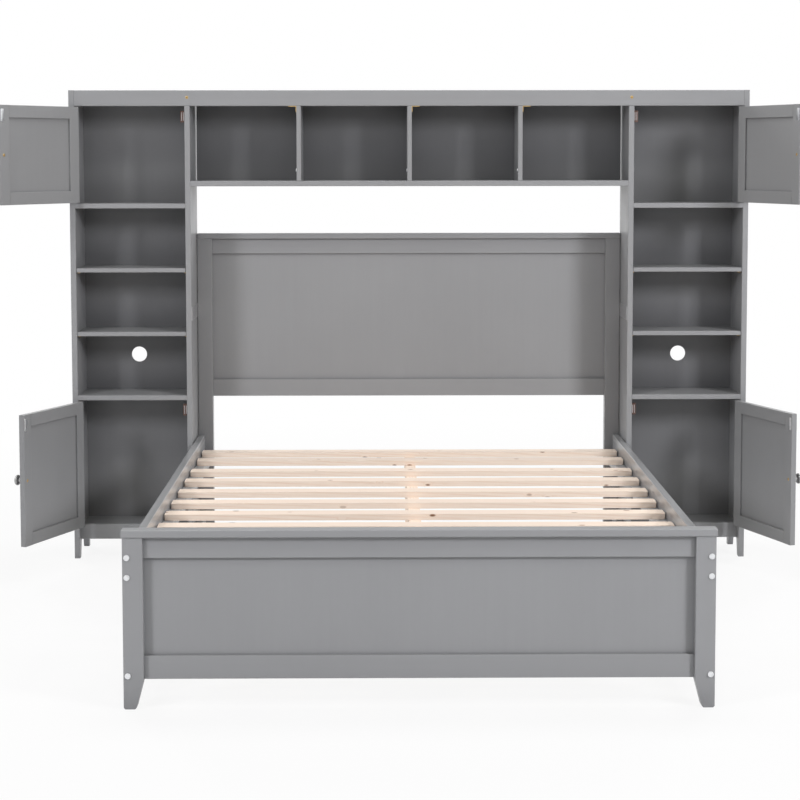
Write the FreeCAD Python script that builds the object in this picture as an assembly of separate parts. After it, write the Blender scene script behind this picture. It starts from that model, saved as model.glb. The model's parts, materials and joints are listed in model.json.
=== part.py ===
import FreeCAD, Part
import math
import os
from collections import namedtuple

# Double bed between two cabinet towers, which a bridge of open compartments joins.
# All lengths are millimetres. X points right, Y from the foot end to the head end, Z up.
# The origin is on the floor under the middle support leg, half way along the bed.

# Bed frame
bed_width = 1450.0
bed_clear_length = 1915.0
leg_width = 50.0
leg_depth = 34.0
leg_taper_height = 73.0
leg_floor_width = 32.0
leg_foot_chamfer = 4.0
leg_edge_radius = 2.0

# Footboard and headboard
footboard_height = 444.0
headboard_height = 1085.0
cap_height = 19.0
cap_overhang = 3.0
cap_edge_radius = 3.0
footboard_upper_rail_height = 52.0
footboard_lower_rail_height = 58.0
headboard_upper_rail_height = 51.0
headboard_lower_rail_height = 58.0
headboard_floor_gap = 524.0
board_rail_thickness = 18.0
board_rail_recess = 10.0
board_rail_edge_radius = 1.5
board_panel_thickness = 6.0
board_panel_recess = 19.0
board_tenon_length = 20.0
board_tenon_thickness = 8.0
board_groove_depth = 8.0

# Side rails, ledgers and slats
side_rail_thickness = 22.0
side_rail_height = 100.0
side_rail_floor_gap = 290.0
lower_rail_height = 50.0
lower_rail_floor_gap = 60.0
side_rail_edge_radius = 2.0
slat_count = 10
slat_width = 59.0
slat_thickness = 17.0
slat_end_clearance = 4.0
slat_corner_radius = 3.0
slat_edge_radius = 2.0
slat_drop = 36.0
slat_end_setback = 134.0
slat_shift_shares = (0.0, -0.02, -0.03, -0.07, -0.13, -0.15, -0.12, -0.14, 0.04, -0.02)
ledger_width = 30.0
ledger_height = 30.0
beam_width = 34.0
beam_height = 60.0
beam_end_clearance = 2.0
beam_leg_setback = 317.5
beam_leg_foot_chamfer = 4.0

# Bed bolts and their barrel nuts
side_rail_bolt_shares = (0.37, 0.86)
lower_rail_bolt_shares = (0.46,)
bolt_head_radius = 7.5
bolt_head_height = 3.0
bolt_head_edge_radius = 1.2
bolt_socket_radius = 2.9
bolt_socket_depth = 1.8
bolt_shank_radius = 3.0
bolt_hole_radius = 3.5
bolt_reach = 60.0
bolt_hole_spare = 5.0
post_counterbore_depth = 4.0
post_counterbore_clearance = 0.6
barrel_nut_radius = 5.0
barrel_nut_length = 18.0
barrel_nut_depth = 45.0
barrel_nut_clearance = 0.1
thread_clearance = 0.05

# Towers
tower_gap = 2.0
tower_width = 400.0
tower_depth = 225.0
tower_panel_thickness = 18.0
tower_panel_edge_radius = 1.5
foot_floor_depth = 28.0
foot_top_depth = 41.0
foot_chamfer = 6.0
foot_arch_height = 56.0
apron_height = 51.0
apron_recess = 50.0
apron_edge_radius = 3.0
lower_cupboard_height = 428.0
upper_cupboard_height = 322.0
fixed_shelf_thickness = 16.0
open_bay_count = 3
adjustable_shelf_thickness = 14.0
adjustable_shelf_recess = 3.0
adjustable_shelf_clearance = 1.0
shelf_edge_radius = 2.0
top_board_thickness = 16.0
back_thickness = 5.0
back_setback = 24.0
back_groove_depth = 6.0
cable_hole_radius = 26.0
cable_hole_drop = 80.0
pin_radius = 2.5
pin_reach = 8.0
pin_setback = 38.0
pin_clearance = 0.05

# Bridge and fascia
headboard_bridge_gap = 164.0
fascia_height = 52.0
fascia_thickness = 18.0
fascia_edge_radius = 2.5
bridge_bay_height = 247.0
bridge_board_thickness = 18.0
bridge_bay_count = 4
divider_thickness = 15.0
bridge_back_gap = 3.0
bracket_width = 26.0
bracket_height = 20.0
bracket_thickness = 2.0
bracket_depth = 14.0
cam_height = 35.0
cam_setback = 14.0
cam_radius = 6.0
cam_proud = 3.0
cam_edge_radius = 2.0
screw_head_radius = 5.0
screw_head_height = 2.0
screw_head_proud = 0.5
screw_shank_radius = 2.0
screw_shank_length = 34.0
screw_height_share = 0.54
screw_clearance = 0.05

# Link plates between the headboard posts and the towers
link_plate_height = 46.0
link_plate_drop = 239.0
link_plate_front_setback = 5.0
link_plate_back_setback = 6.0

# Doors
door_thickness = 18.0
door_side_gap = 2.4
door_end_gap = 3.0
door_stile_width = 42.0
door_rail_height = 40.0
door_panel_thickness = 6.0
door_tenon_length = 14.0
door_tenon_thickness = 6.0
door_groove_depth = 7.0
door_edge_radius = 1.5
upper_left_open_angle = 124.0
lower_left_open_angle = 112.5
upper_right_open_angle = 111.5
lower_right_open_angle = 109.5

# Butt hinges
hinge_height = 50.0
hinge_inset = 45.0
hinge_knuckle_count = 5
hinge_knuckle_gap = 0.3
hinge_barrel_radius = 3.0
hinge_pin_radius = 1.5
hinge_pin_clearance = 0.05
hinge_pin_cap_height = 1.2
hinge_pivot_proud = 3.5
hinge_leaf_thickness = 1.0
hinge_leaf_width = 15.0
hinge_leaf_clearance = 0.3

# Knobs, strike plates and magnetic catches
knob_inset = 17.0
knob_projection = 25.0
knob_base_radius = 9.0
knob_base_height = 2.5
knob_neck_radius = 6.5
knob_neck_length = 13.0
knob_head_radius = 17.0
knob_dome_height = 3.0
knob_flare_out_share = 0.35
knob_flare_up_share = 0.6
knob_screw_bite = 12.0
strike_width = 14.0
strike_height = 40.0
strike_thickness = 0.8
strike_corner_radius = 3.0
strike_edge_setback = 4.0
strike_top_setback = 12.0
catch_width = 15.0
catch_depth = 15.0
catch_height = 39.0
catch_edge_radius = 1.5
catch_gap = 0.3

# Joinery and modelling values
panel_play = 1.0
tenon_end_play = 0.5
cut_overrun = 10.0
parallel_tolerance = 1e-6

# Bed sizes that follow
leg_outer_x = bed_width / 2.0
leg_inner_x = leg_outer_x - leg_width
clear_half_length = bed_clear_length / 2.0
bed_end_y = clear_half_length + leg_depth
side_rail_inner_x = leg_outer_x - side_rail_thickness
slat_top = side_rail_floor_gap + side_rail_height - slat_drop
slat_bottom = slat_top - slat_thickness
slat_pitch = (bed_clear_length - 2.0 * slat_end_setback) / (slat_count - 1)
beam_leg_spacing = clear_half_length - beam_leg_setback
bolt_x = leg_outer_x - side_rail_thickness / 2.0
side_rail_bolt_heights = [side_rail_floor_gap + share * side_rail_height
                          for share in side_rail_bolt_shares]
lower_rail_bolt_heights = [lower_rail_floor_gap + share * lower_rail_height
                           for share in lower_rail_bolt_shares]

# The bridge passes over the headboard and sets the height of the towers
bridge_board_bottom = headboard_height + headboard_bridge_gap
bridge_board_top = bridge_board_bottom + bridge_board_thickness
fascia_bottom = bridge_board_top + bridge_bay_height
tower_height = fascia_bottom + fascia_height
top_board_bottom = tower_height - top_board_thickness

# Tower sizes that follow, for the tower on the right
tower_inner_x = leg_outer_x + tower_gap
tower_outer_x = tower_inner_x + tower_width
bay_inner_x = tower_inner_x + tower_panel_thickness
bay_outer_x = tower_outer_x - tower_panel_thickness
tower_back_y = bed_end_y
tower_front_y = tower_back_y - tower_depth
back_front_y = tower_back_y - back_setback - back_thickness
apron_front_y = tower_front_y + apron_recess
floor_top = foot_arch_height + apron_height
lower_shelf_bottom = floor_top + lower_cupboard_height
lower_shelf_top = lower_shelf_bottom + fixed_shelf_thickness
upper_shelf_top = fascia_bottom - upper_cupboard_height
upper_shelf_bottom = upper_shelf_top - fixed_shelf_thickness
adjustable_shelf_pitch = (upper_shelf_bottom + adjustable_shelf_thickness - lower_shelf_top) / open_bay_count
adjustable_shelf_bottoms = [lower_shelf_top + index * adjustable_shelf_pitch - adjustable_shelf_thickness
                            for index in range(1, open_bay_count)]
cable_hole_height = adjustable_shelf_bottoms[0] - cable_hole_drop

# Hinge axis and closed door of the tower on the right
hinge_x = bay_outer_x - door_side_gap / 2.0
hinge_y = tower_front_y - hinge_pivot_proud
door_x_range = (bay_inner_x + door_side_gap, bay_outer_x - door_side_gap)
door_y_range = (tower_front_y, tower_front_y + door_thickness)
upper_door_heights = (upper_shelf_top + door_end_gap, fascia_bottom - door_end_gap)
lower_door_heights = (floor_top + door_end_gap, lower_shelf_bottom - door_end_gap)

X_AXIS = FreeCAD.Vector(1, 0, 0)
Y_AXIS = FreeCAD.Vector(0, 1, 0)
Z_AXIS = FreeCAD.Vector(0, 0, 1)

Joinery = namedtuple("Joinery", "tenon_length tenon_thickness groove_depth panel_thickness edge_radius")
board_joinery = Joinery(board_tenon_length, board_tenon_thickness, board_groove_depth,
                        board_panel_thickness, board_rail_edge_radius)
door_joinery = Joinery(door_tenon_length, door_tenon_thickness, door_groove_depth,
                       door_panel_thickness, door_edge_radius)


def at(x, y, z):
    return FreeCAD.Vector(x, y, z)


def block(x_range, y_range, z_range):
    """A box between two places on each axis, given in either order."""
    (x_low, x_high), (y_low, y_high), (z_low, z_high) = map(sorted, (x_range, y_range, z_range))
    return Part.makeBox(x_high - x_low, y_high - y_low, z_high - z_low, at(x_low, y_low, z_low))


def rod(start, axis, radius, length):
    return Part.makeCylinder(radius, length, start, axis)


def runs_along(edge, axis):
    if not isinstance(edge.Curve, Part.Line):
        return False
    return edge.tangentAt(edge.FirstParameter).cross(axis).Length < parallel_tolerance


def eased(shape, radius, *axes):
    """The shape with its straight edges along the given axes rounded."""
    edges = [edge for edge in shape.Edges if any(runs_along(edge, axis) for axis in axes)]
    return shape.makeFillet(radius, edges)


def extruded(points, travel):
    """A prism on a closed outline, from one face to the other."""
    outline = Part.makePolygon(list(points) + [points[0]])
    return Part.Face(outline).extrude(travel)


def mirrored(shape):
    return shape.mirror(at(0, 0, 0), X_AXIS)


def group(solids):
    return Part.makeCompound(list(solids))


def on_both_sides(solids):
    """Solids of the right-hand side and their mirror images, as one group."""
    return group(list(solids) + [mirrored(solid) for solid in solids])


def middle_band(span, width):
    """The band of a given width in the middle of a span."""
    middle = (span[0] + span[1]) / 2.0
    return (middle - width / 2.0, middle + width / 2.0)


# Framed panels: the footboard, the headboard and the doors are made alike.

def tenon_heights(heights, joint):
    return (heights[0] + joint.groove_depth, heights[1] - joint.groove_depth)


def framed_rail(span, heights, rail_y, panel_y, joint, grooved_edge):
    """A rail with a tenon on each end and a panel groove along one edge."""
    body = eased(block(span, rail_y, heights), joint.edge_radius, X_AXIS)
    tenon_span = (span[0] - joint.tenon_length, span[1] + joint.tenon_length)
    tenon = block(tenon_span, middle_band(rail_y, joint.tenon_thickness), tenon_heights(heights, joint))
    edge_z = heights[0] if grooved_edge == "bottom" else heights[1]
    groove_end_z = edge_z + (joint.groove_depth if grooved_edge == "bottom" else -joint.groove_depth)
    groove = block(span, panel_y, (edge_z, groove_end_z))
    return body.cut(groove).fuse(tenon)


def mortise(inner_x, outward, heights, rail_y, joint):
    """What a post or stile loses to a rail's tenon. outward is 1 or -1, along X."""
    depth = joint.tenon_length + tenon_end_play
    return block((inner_x, inner_x + outward * depth), middle_band(rail_y, joint.tenon_thickness),
                 tenon_heights(heights, joint))


def side_groove(inner_x, outward, opening, panel_y, joint):
    """What a post or stile loses to the panel's edge: it runs on to the tenons over the panel's corners."""
    heights = (opening[0] - joint.groove_depth, opening[1] + joint.groove_depth)
    return block((inner_x, inner_x + outward * joint.groove_depth), panel_y, heights)


def housed_panel(span, heights, panel_y, joint):
    """A panel that reaches into the grooves round it."""
    reach = joint.groove_depth - panel_play
    return block((span[0] - reach, span[1] + reach), panel_y, (heights[0] - reach, heights[1] + reach))


# Footboard and headboard

def bed_leg(height, front_y, board_cuts, bolt_cuts):
    """The leg or post on the right, tapered to the floor on its inner side."""
    floor_inner_x = leg_outer_x - leg_floor_width
    outline = [
        at(leg_outer_x, front_y, leg_foot_chamfer),
        at(leg_outer_x, front_y, height),
        at(leg_inner_x, front_y, height),
        at(leg_inner_x, front_y, leg_taper_height),
        at(floor_inner_x, front_y, leg_foot_chamfer),
        at(floor_inner_x + leg_foot_chamfer, front_y, 0),
        at(leg_outer_x - leg_foot_chamfer, front_y, 0),
    ]
    leg = extruded(outline, Y_AXIS * leg_depth)
    leg = eased(leg, leg_edge_radius, Z_AXIS)
    for cut in board_cuts + bolt_cuts:
        leg = leg.cut(cut)
    return leg


def board_nodes(name, post_name, height, floor_gap, upper_rail_height, lower_rail_height,
                front_y, end_overhang, bolt_cuts):
    """Legs or posts, cap, two rails and the panel of one end of the bed."""
    post_height = height - cap_height
    span = (-leg_inner_x, leg_inner_x)
    rail_y = (front_y + board_rail_recess, front_y + board_rail_recess + board_rail_thickness)
    panel_y = (front_y + board_panel_recess, front_y + board_panel_recess + board_panel_thickness)
    upper = (post_height - upper_rail_height, post_height)
    lower = (floor_gap, floor_gap + lower_rail_height)
    opening = (lower[1], upper[0])
    joint = board_joinery
    board_cuts = [mortise(leg_inner_x, 1, upper, rail_y, joint),
                  mortise(leg_inner_x, 1, lower, rail_y, joint),
                  side_groove(leg_inner_x, 1, opening, panel_y, joint)]
    post = bed_leg(post_height, front_y, board_cuts, bolt_cuts)
    cap_x = leg_outer_x + end_overhang
    cap_y = (front_y - cap_overhang, front_y + leg_depth + cap_overhang)
    if front_y > 0:
        cap_y = (cap_y[0], front_y + leg_depth)
    cap = block((-cap_x, cap_x), cap_y, (post_height, height))
    return {
        name + "_" + post_name + "_right": post,
        name + "_" + post_name + "_left": mirrored(post),
        name + "_cap": eased(cap, cap_edge_radius, X_AXIS, Y_AXIS, Z_AXIS),
        name + "_upper_rail": framed_rail(span, upper, rail_y, panel_y, joint, "bottom"),
        name + "_lower_rail": framed_rail(span, lower, rail_y, panel_y, joint, "top"),
        name + "_panel": housed_panel(span, opening, panel_y, joint),
    }


def bolt_places():
    """(height, outer face, direction into the bed, counterbore) of each bolt on the right."""
    places = []
    for height in side_rail_bolt_heights + lower_rail_bolt_heights:
        places.append((height, -bed_end_y, 1, 0))
        places.append((height, bed_end_y, -1, post_counterbore_depth))
    return places


def bolt_leg_cuts(inward):
    """Bolt holes of the legs at one end, with a counterbore where the head is sunk."""
    cuts = []
    for height, face_y, direction, sunk in bolt_places():
        if direction != inward:
            continue
        axis = Y_AXIS * direction
        start = at(bolt_x, face_y - direction * cut_overrun, height)
        cuts.append(rod(start, axis, bolt_hole_radius, leg_depth + 2.0 * cut_overrun))
        if sunk:
            radius = bolt_head_radius + post_counterbore_clearance
            cuts.append(rod(start, axis, radius, sunk + cut_overrun))
    return cuts


def barrel_nut_center(height, face_y, direction):
    return at(bolt_x - barrel_nut_length / 2.0, face_y + direction * (leg_depth + barrel_nut_depth), height)


def long_rail(floor_gap, height, bolt_heights):
    """A side rail on the right, bored for its bolts and barrel nuts."""
    rail = block((side_rail_inner_x, leg_outer_x), (-clear_half_length, clear_half_length),
                 (floor_gap, floor_gap + height))
    rail = eased(rail, side_rail_edge_radius, Y_AXIS)
    for bolt_height, face_y, direction, sunk in bolt_places():
        if bolt_height not in bolt_heights:
            continue
        start = at(bolt_x, face_y + direction * (leg_depth - cut_overrun), bolt_height)
        rail = rail.cut(rod(start, Y_AXIS * direction, bolt_hole_radius,
                            bolt_reach + bolt_hole_spare + cut_overrun))
        nut_center = barrel_nut_center(bolt_height, face_y, direction)
        nut_end_x = nut_center.x + barrel_nut_length + barrel_nut_clearance
        hole_length = nut_end_x - side_rail_inner_x + cut_overrun
        hole_start = at(side_rail_inner_x - cut_overrun, nut_center.y, bolt_height)
        rail = rail.cut(rod(hole_start, X_AXIS, barrel_nut_radius + barrel_nut_clearance, hole_length))
    return rail


def hexagon_prism(center, axis, radius, length):
    corners = []
    for index in range(6):
        angle = math.radians(60.0 * index)
        corners.append(center + X_AXIS * (radius * math.cos(angle)) + Z_AXIS * (radius * math.sin(angle)))
    return extruded(corners, axis * length)


def bed_bolt(height, face_y, direction, sunk):
    """A bolt with a low round head and a hexagon socket."""
    axis = Y_AXIS * direction
    seat = at(bolt_x, face_y + direction * sunk, height)
    head = rod(seat - axis * bolt_head_height, axis, bolt_head_radius, bolt_head_height)
    circles = [edge for edge in head.Edges if isinstance(edge.Curve, Part.Circle)]
    rim = [edge for edge in circles if (edge.Curve.Center - seat).Length > bolt_head_height / 2.0]
    head = head.makeFillet(bolt_head_edge_radius, rim)
    shank = rod(seat, axis, bolt_shank_radius, leg_depth - sunk + bolt_reach)
    socket = hexagon_prism(seat - axis * bolt_head_height, axis, bolt_socket_radius, bolt_socket_depth)
    return head.fuse(shank).cut(socket)


def barrel_nut(height, face_y, direction, sunk):
    center = barrel_nut_center(height, face_y, direction)
    nut = rod(center, X_AXIS, barrel_nut_radius, barrel_nut_length)
    start = at(bolt_x, center.y - direction * cut_overrun, height)
    return nut.cut(rod(start, Y_AXIS * direction, bolt_shank_radius + thread_clearance, 2.0 * cut_overrun))


# Slats and what carries them

def slat_centers():
    """The slats are laid by hand, so each is a share of the pitch off its even place."""
    first = -(slat_count - 1) / 2.0
    return [(first + index + share) * slat_pitch for index, share in enumerate(slat_shift_shares)]


def slat(center_y):
    half_length = side_rail_inner_x - slat_end_clearance
    board = block((-half_length, half_length),
                  (center_y - slat_width / 2.0, center_y + slat_width / 2.0), (slat_bottom, slat_top))
    board = eased(board, slat_corner_radius, Z_AXIS)
    rims = [edge for edge in board.Edges if not runs_along(edge, Z_AXIS)]
    return board.makeFillet(slat_edge_radius, rims)


def slat_ledger():
    ledger = block((side_rail_inner_x - ledger_width, side_rail_inner_x),
                   (-clear_half_length, clear_half_length), (slat_bottom - ledger_height, slat_bottom))
    return eased(ledger, slat_edge_radius, Y_AXIS)


def centre_beam():
    half_length = clear_half_length - beam_end_clearance
    beam = block((-beam_width / 2.0, beam_width / 2.0), (-half_length, half_length),
                 (slat_bottom - beam_height, slat_bottom))
    return eased(beam, slat_edge_radius, Y_AXIS)


def centre_leg(center_y):
    half = beam_width / 2.0
    top = slat_bottom - beam_height
    leg = block((-half, half), (center_y - half, center_y + half), (0, top))
    sole = [edge for edge in leg.Edges if edge.BoundBox.ZMax < beam_leg_foot_chamfer]
    return leg.makeChamfer(beam_leg_foot_chamfer, sole)


# Towers, modelled on the right and mirrored to the left

def side_outline(y_front, y_back):
    """The outline of a side panel, with an arch between its two feet."""
    return [
        at(0, y_front, 0),
        at(0, y_front + foot_floor_depth - foot_chamfer, 0),
        at(0, y_front + foot_floor_depth, foot_chamfer),
        at(0, y_front + foot_top_depth, foot_arch_height),
        at(0, y_back - foot_top_depth, foot_arch_height),
        at(0, y_back - foot_floor_depth, foot_chamfer),
        at(0, y_back - foot_floor_depth + foot_chamfer, 0),
        at(0, y_back, 0),
        at(0, y_back, tower_height),
        at(0, y_front, tower_height),
    ]


def fascia_block():
    return block((-bay_outer_x, bay_outer_x), (tower_front_y, tower_front_y + fascia_thickness),
                 (fascia_bottom, tower_height))


def back_panel_heights():
    return (floor_top - fixed_shelf_thickness, tower_height)


def tower_side(panel_x, bay_face_x):
    """A side panel whose low x face is at panel_x and whose face to the bays is at bay_face_x."""
    panel = extruded(side_outline(tower_front_y, tower_back_y), X_AXIS * tower_panel_thickness)
    panel.translate(X_AXIS * panel_x)
    panel = eased(panel, tower_panel_edge_radius, Z_AXIS)
    into_panel = 1 if panel_x + tower_panel_thickness / 2.0 > bay_face_x else -1
    groove = block((bay_face_x, bay_face_x + into_panel * back_groove_depth),
                   (back_front_y, back_front_y + back_thickness), back_panel_heights())
    panel = panel.cut(groove)
    for pin in shelf_pins(bay_face_x, -into_panel, pin_clearance):
        panel = panel.cut(pin)
    return panel


def shelf_pins(bay_face_x, into_bay, clearance):
    """The pins under the adjustable shelves that stand in one face of the bays."""
    pins = []
    for shelf_bottom in adjustable_shelf_bottoms:
        for pin_y in (tower_front_y + pin_setback, back_front_y - pin_setback):
            start = at(bay_face_x - into_bay * pin_reach, pin_y, shelf_bottom - pin_radius)
            pins.append(rod(start, X_AXIS * into_bay, pin_radius + clearance, 2.0 * pin_reach))
    return pins


def tower_board(z_low, z_high, y_front):
    board = block((bay_inner_x, bay_outer_x), (y_front, back_front_y), (z_low, z_high))
    return eased(board, shelf_edge_radius, X_AXIS)


def adjustable_shelf(z_low):
    shelf = block((bay_inner_x + adjustable_shelf_clearance, bay_outer_x - adjustable_shelf_clearance),
                  (tower_front_y + adjustable_shelf_recess, back_front_y - adjustable_shelf_clearance),
                  (z_low, z_low + adjustable_shelf_thickness))
    return eased(shelf, shelf_edge_radius, X_AXIS)


def tower_back():
    """The back panel stands in a groove of each side panel and has a round hole for cables."""
    reach = back_groove_depth - panel_play
    panel = block((bay_inner_x - reach, bay_outer_x + reach),
                  (back_front_y, back_front_y + back_thickness), back_panel_heights())
    hole_start = at((bay_inner_x + bay_outer_x) / 2.0, back_front_y - cut_overrun, cable_hole_height)
    return panel.cut(rod(hole_start, Y_AXIS, cable_hole_radius, back_thickness + 2.0 * cut_overrun))


def apron():
    board = block((bay_inner_x, bay_outer_x), (apron_front_y, apron_front_y + tower_panel_thickness),
                  (foot_arch_height, floor_top))
    return eased(board, apron_edge_radius, X_AXIS)


def magnetic_catch(door_heights):
    """The block on the inner side panel that holds the strike plate of a closed door."""
    top = door_heights[1] - strike_top_setback
    front_y = door_y_range[1] + strike_thickness + catch_gap
    body = block((bay_inner_x, bay_inner_x + catch_width), (front_y, front_y + catch_depth),
                 (top - catch_height, top))
    return eased(body, catch_edge_radius, Z_AXIS)


def link_plate():
    """The flat plate that fills the gap between a headboard post and its tower."""
    top = headboard_height - link_plate_drop
    return block((leg_outer_x, tower_inner_x),
                 (tower_front_y + link_plate_front_setback, tower_back_y - link_plate_back_setback),
                 (top - link_plate_height, top))


def tower_nodes():
    inner_side = tower_side(tower_inner_x, bay_inner_x)
    inner_side = inner_side.cut(fascia_block()).cut(fascia_screw(screw_clearance))
    fixed_shelves = [tower_board(lower_shelf_bottom, lower_shelf_top, tower_front_y),
                     tower_board(upper_shelf_bottom, upper_shelf_top, tower_front_y)]
    right = {
        "outer_side": tower_side(bay_outer_x, bay_outer_x),
        "inner_side": inner_side,
        "back": tower_back(),
        "fixed_shelves": group(fixed_shelves),
    }
    nodes = {}
    for name, shape in right.items():
        nodes["tower_right_" + name] = shape
        nodes["tower_left_" + name] = mirrored(shape)
    pins = shelf_pins(bay_inner_x, 1, 0) + shelf_pins(bay_outer_x, -1, 0)
    nodes["shelf_pins"] = on_both_sides(pins)
    nodes["adjustable_shelves"] = on_both_sides([adjustable_shelf(z) for z in adjustable_shelf_bottoms])
    nodes["cupboard_floors"] = on_both_sides(
        [tower_board(floor_top - fixed_shelf_thickness, floor_top, apron_front_y + tower_panel_thickness)])
    nodes["tower_aprons"] = on_both_sides([apron()])
    nodes["tower_top_boards"] = on_both_sides(
        [tower_board(top_board_bottom, tower_height, tower_front_y + fascia_thickness)])
    nodes["magnetic_catches"] = on_both_sides(
        [magnetic_catch(upper_door_heights), magnetic_catch(lower_door_heights)])
    nodes["headboard_link_plates"] = on_both_sides([link_plate()])
    return nodes


# Bridge

def fascia_screw_seat():
    x = (tower_inner_x + bay_inner_x) / 2.0
    return at(x, tower_front_y - screw_head_proud, fascia_bottom + screw_height_share * fascia_height)


def fascia_screw(clearance):
    """A screw through the fascia into the tower's side, or with a clearance the hole for it."""
    seat = fascia_screw_seat()
    head = rod(seat, Y_AXIS, screw_head_radius + clearance, screw_head_height + screw_head_proud)
    return head.fuse(rod(seat, Y_AXIS, screw_shank_radius + clearance, screw_shank_length))


def fascia():
    board = eased(fascia_block(), fascia_edge_radius, X_AXIS)
    hole = fascia_screw(screw_clearance)
    return board.cut(hole).cut(mirrored(hole))


def bridge_board(z_low, z_high, y_front):
    board = block((-tower_inner_x, tower_inner_x), (y_front, back_front_y), (z_low, z_high))
    return eased(board, shelf_edge_radius, X_AXIS)


def divider_centers():
    bay_width = (2.0 * tower_inner_x - (bridge_bay_count - 1) * divider_thickness) / bridge_bay_count
    first = -tower_inner_x + bay_width + divider_thickness / 2.0
    return [first + index * (bay_width + divider_thickness) for index in range(bridge_bay_count - 1)]


def divider(center_x):
    half = divider_thickness / 2.0
    board = block((center_x - half, center_x + half), (tower_front_y, back_front_y),
                  (bridge_board_top, top_board_bottom))
    return eased(board, tower_panel_edge_radius, Z_AXIS).cut(fascia_block())


def divider_bracket(center_x, side):
    """An angle bracket between a divider's face and the bottom edge of the fascia."""
    face_x = center_x + side * divider_thickness / 2.0
    depth = middle_band((tower_front_y, tower_front_y + fascia_thickness), bracket_depth)
    on_divider = block((face_x, face_x + side * bracket_thickness), depth,
                       (fascia_bottom - bracket_height, fascia_bottom))
    under_fascia = block((face_x, face_x + side * bracket_width), depth,
                         (fascia_bottom - bracket_thickness, fascia_bottom))
    return on_divider.fuse(under_fascia).removeSplitter()


def divider_cam(center_x):
    """The round head of the fitting that draws a divider down to the bridge board, on its left face."""
    face = at(center_x - divider_thickness / 2.0, tower_front_y + cam_setback, bridge_board_top + cam_height)
    head = rod(face, -X_AXIS, cam_radius, cam_proud)
    rim = [edge for edge in head.Edges if edge.BoundBox.XMax < face.x - cam_proud / 2.0]
    return head.makeFillet(cam_edge_radius, rim)


def bridge_back():
    half_width = tower_inner_x - bridge_back_gap
    return block((-half_width, half_width), (back_front_y, back_front_y + back_thickness),
                 (bridge_board_bottom, tower_height))


def bridge_nodes():
    centers = divider_centers()
    bracket_sides = [-1 if center < -divider_thickness else 1 for center in centers]
    return {
        "bridge_bottom_board": bridge_board(bridge_board_bottom, bridge_board_top, tower_front_y),
        "bridge_top_board": bridge_board(top_board_bottom, tower_height, tower_front_y + fascia_thickness),
        "bridge_back": bridge_back(),
        "bridge_dividers": group(divider(center) for center in centers),
        "bridge_divider_fittings": group([divider_bracket(center, side)
                                          for center, side in zip(centers, bracket_sides)]
                                         + [divider_cam(center) for center in centers]),
        "fascia": fascia(),
        "fascia_screws": on_both_sides([fascia_screw(0)]),
    }


# Doors, modelled closed in the tower on the right

def knuckle_ranges(base_z, indices):
    """The heights of some of the knuckles along a hinge that starts at base_z."""
    gaps = (hinge_knuckle_count - 1) * hinge_knuckle_gap
    length = (hinge_height - gaps) / hinge_knuckle_count
    starts = [base_z + index * (length + hinge_knuckle_gap) for index in indices]
    return [(start, start + length) for start in starts]


def hinge_leaf(base_z, side, indices):
    """A flat leaf beside the pivot with its share of the knuckles. side is 1 or -1, along X."""
    face_x = hinge_x + side * door_side_gap / 2.0
    leaf_x = (face_x - side * hinge_leaf_thickness, face_x)
    leaf_y = hinge_y + hinge_barrel_radius + hinge_leaf_clearance
    leaf = block(leaf_x, (leaf_y, leaf_y + hinge_leaf_width), (base_z, base_z + hinge_height))
    for heights in knuckle_ranges(base_z, indices):
        start = at(hinge_x, hinge_y, heights[0])
        barrel = rod(start, Z_AXIS, hinge_barrel_radius, heights[1] - heights[0])
        leaf = leaf.fuse(block(leaf_x, (hinge_y, leaf_y), heights)).fuse(barrel)
    bore = rod(at(hinge_x, hinge_y, base_z - cut_overrun), Z_AXIS,
               hinge_pin_radius + hinge_pin_clearance, hinge_height + 2.0 * cut_overrun)
    return leaf.cut(bore).removeSplitter()


def hinge_pin(base_z):
    """The pin, with a cap on each end of the barrel."""
    pin = rod(at(hinge_x, hinge_y, base_z), Z_AXIS, hinge_pin_radius, hinge_height)
    for cap_z in (base_z - hinge_pin_cap_height, base_z + hinge_height):
        pin = pin.fuse(rod(at(hinge_x, hinge_y, cap_z), Z_AXIS, hinge_barrel_radius, hinge_pin_cap_height))
    return pin


def hinge_bases(door_heights):
    return [door_heights[0] + hinge_inset, door_heights[1] - hinge_inset - hinge_height]


def fixed_hinge_halves(door_heights):
    """The leaves and pins that stay on the tower."""
    indices = range(0, hinge_knuckle_count, 2)
    halves = []
    for base_z in hinge_bases(door_heights):
        halves += [hinge_leaf(base_z, 1, indices), hinge_pin(base_z)]
    return halves


def knob_height(door_heights):
    return (door_heights[0] + door_heights[1]) / 2.0


def knob_axis_start(door_heights, y):
    return at(door_x_range[0] + knob_inset, y, knob_height(door_heights))


def knob_screw(door_heights, clearance):
    """The screw that holds the knob, from the inside of the door."""
    length = door_thickness + knob_screw_bite
    start = knob_axis_start(door_heights, door_y_range[1] - length)
    shank = rod(start, Y_AXIS, screw_shank_radius + clearance, length)
    head_start = knob_axis_start(door_heights, door_y_range[1] - screw_head_height)
    return shank.fuse(rod(head_start, Y_AXIS, screw_head_radius, screw_head_height + screw_head_proud))


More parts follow.
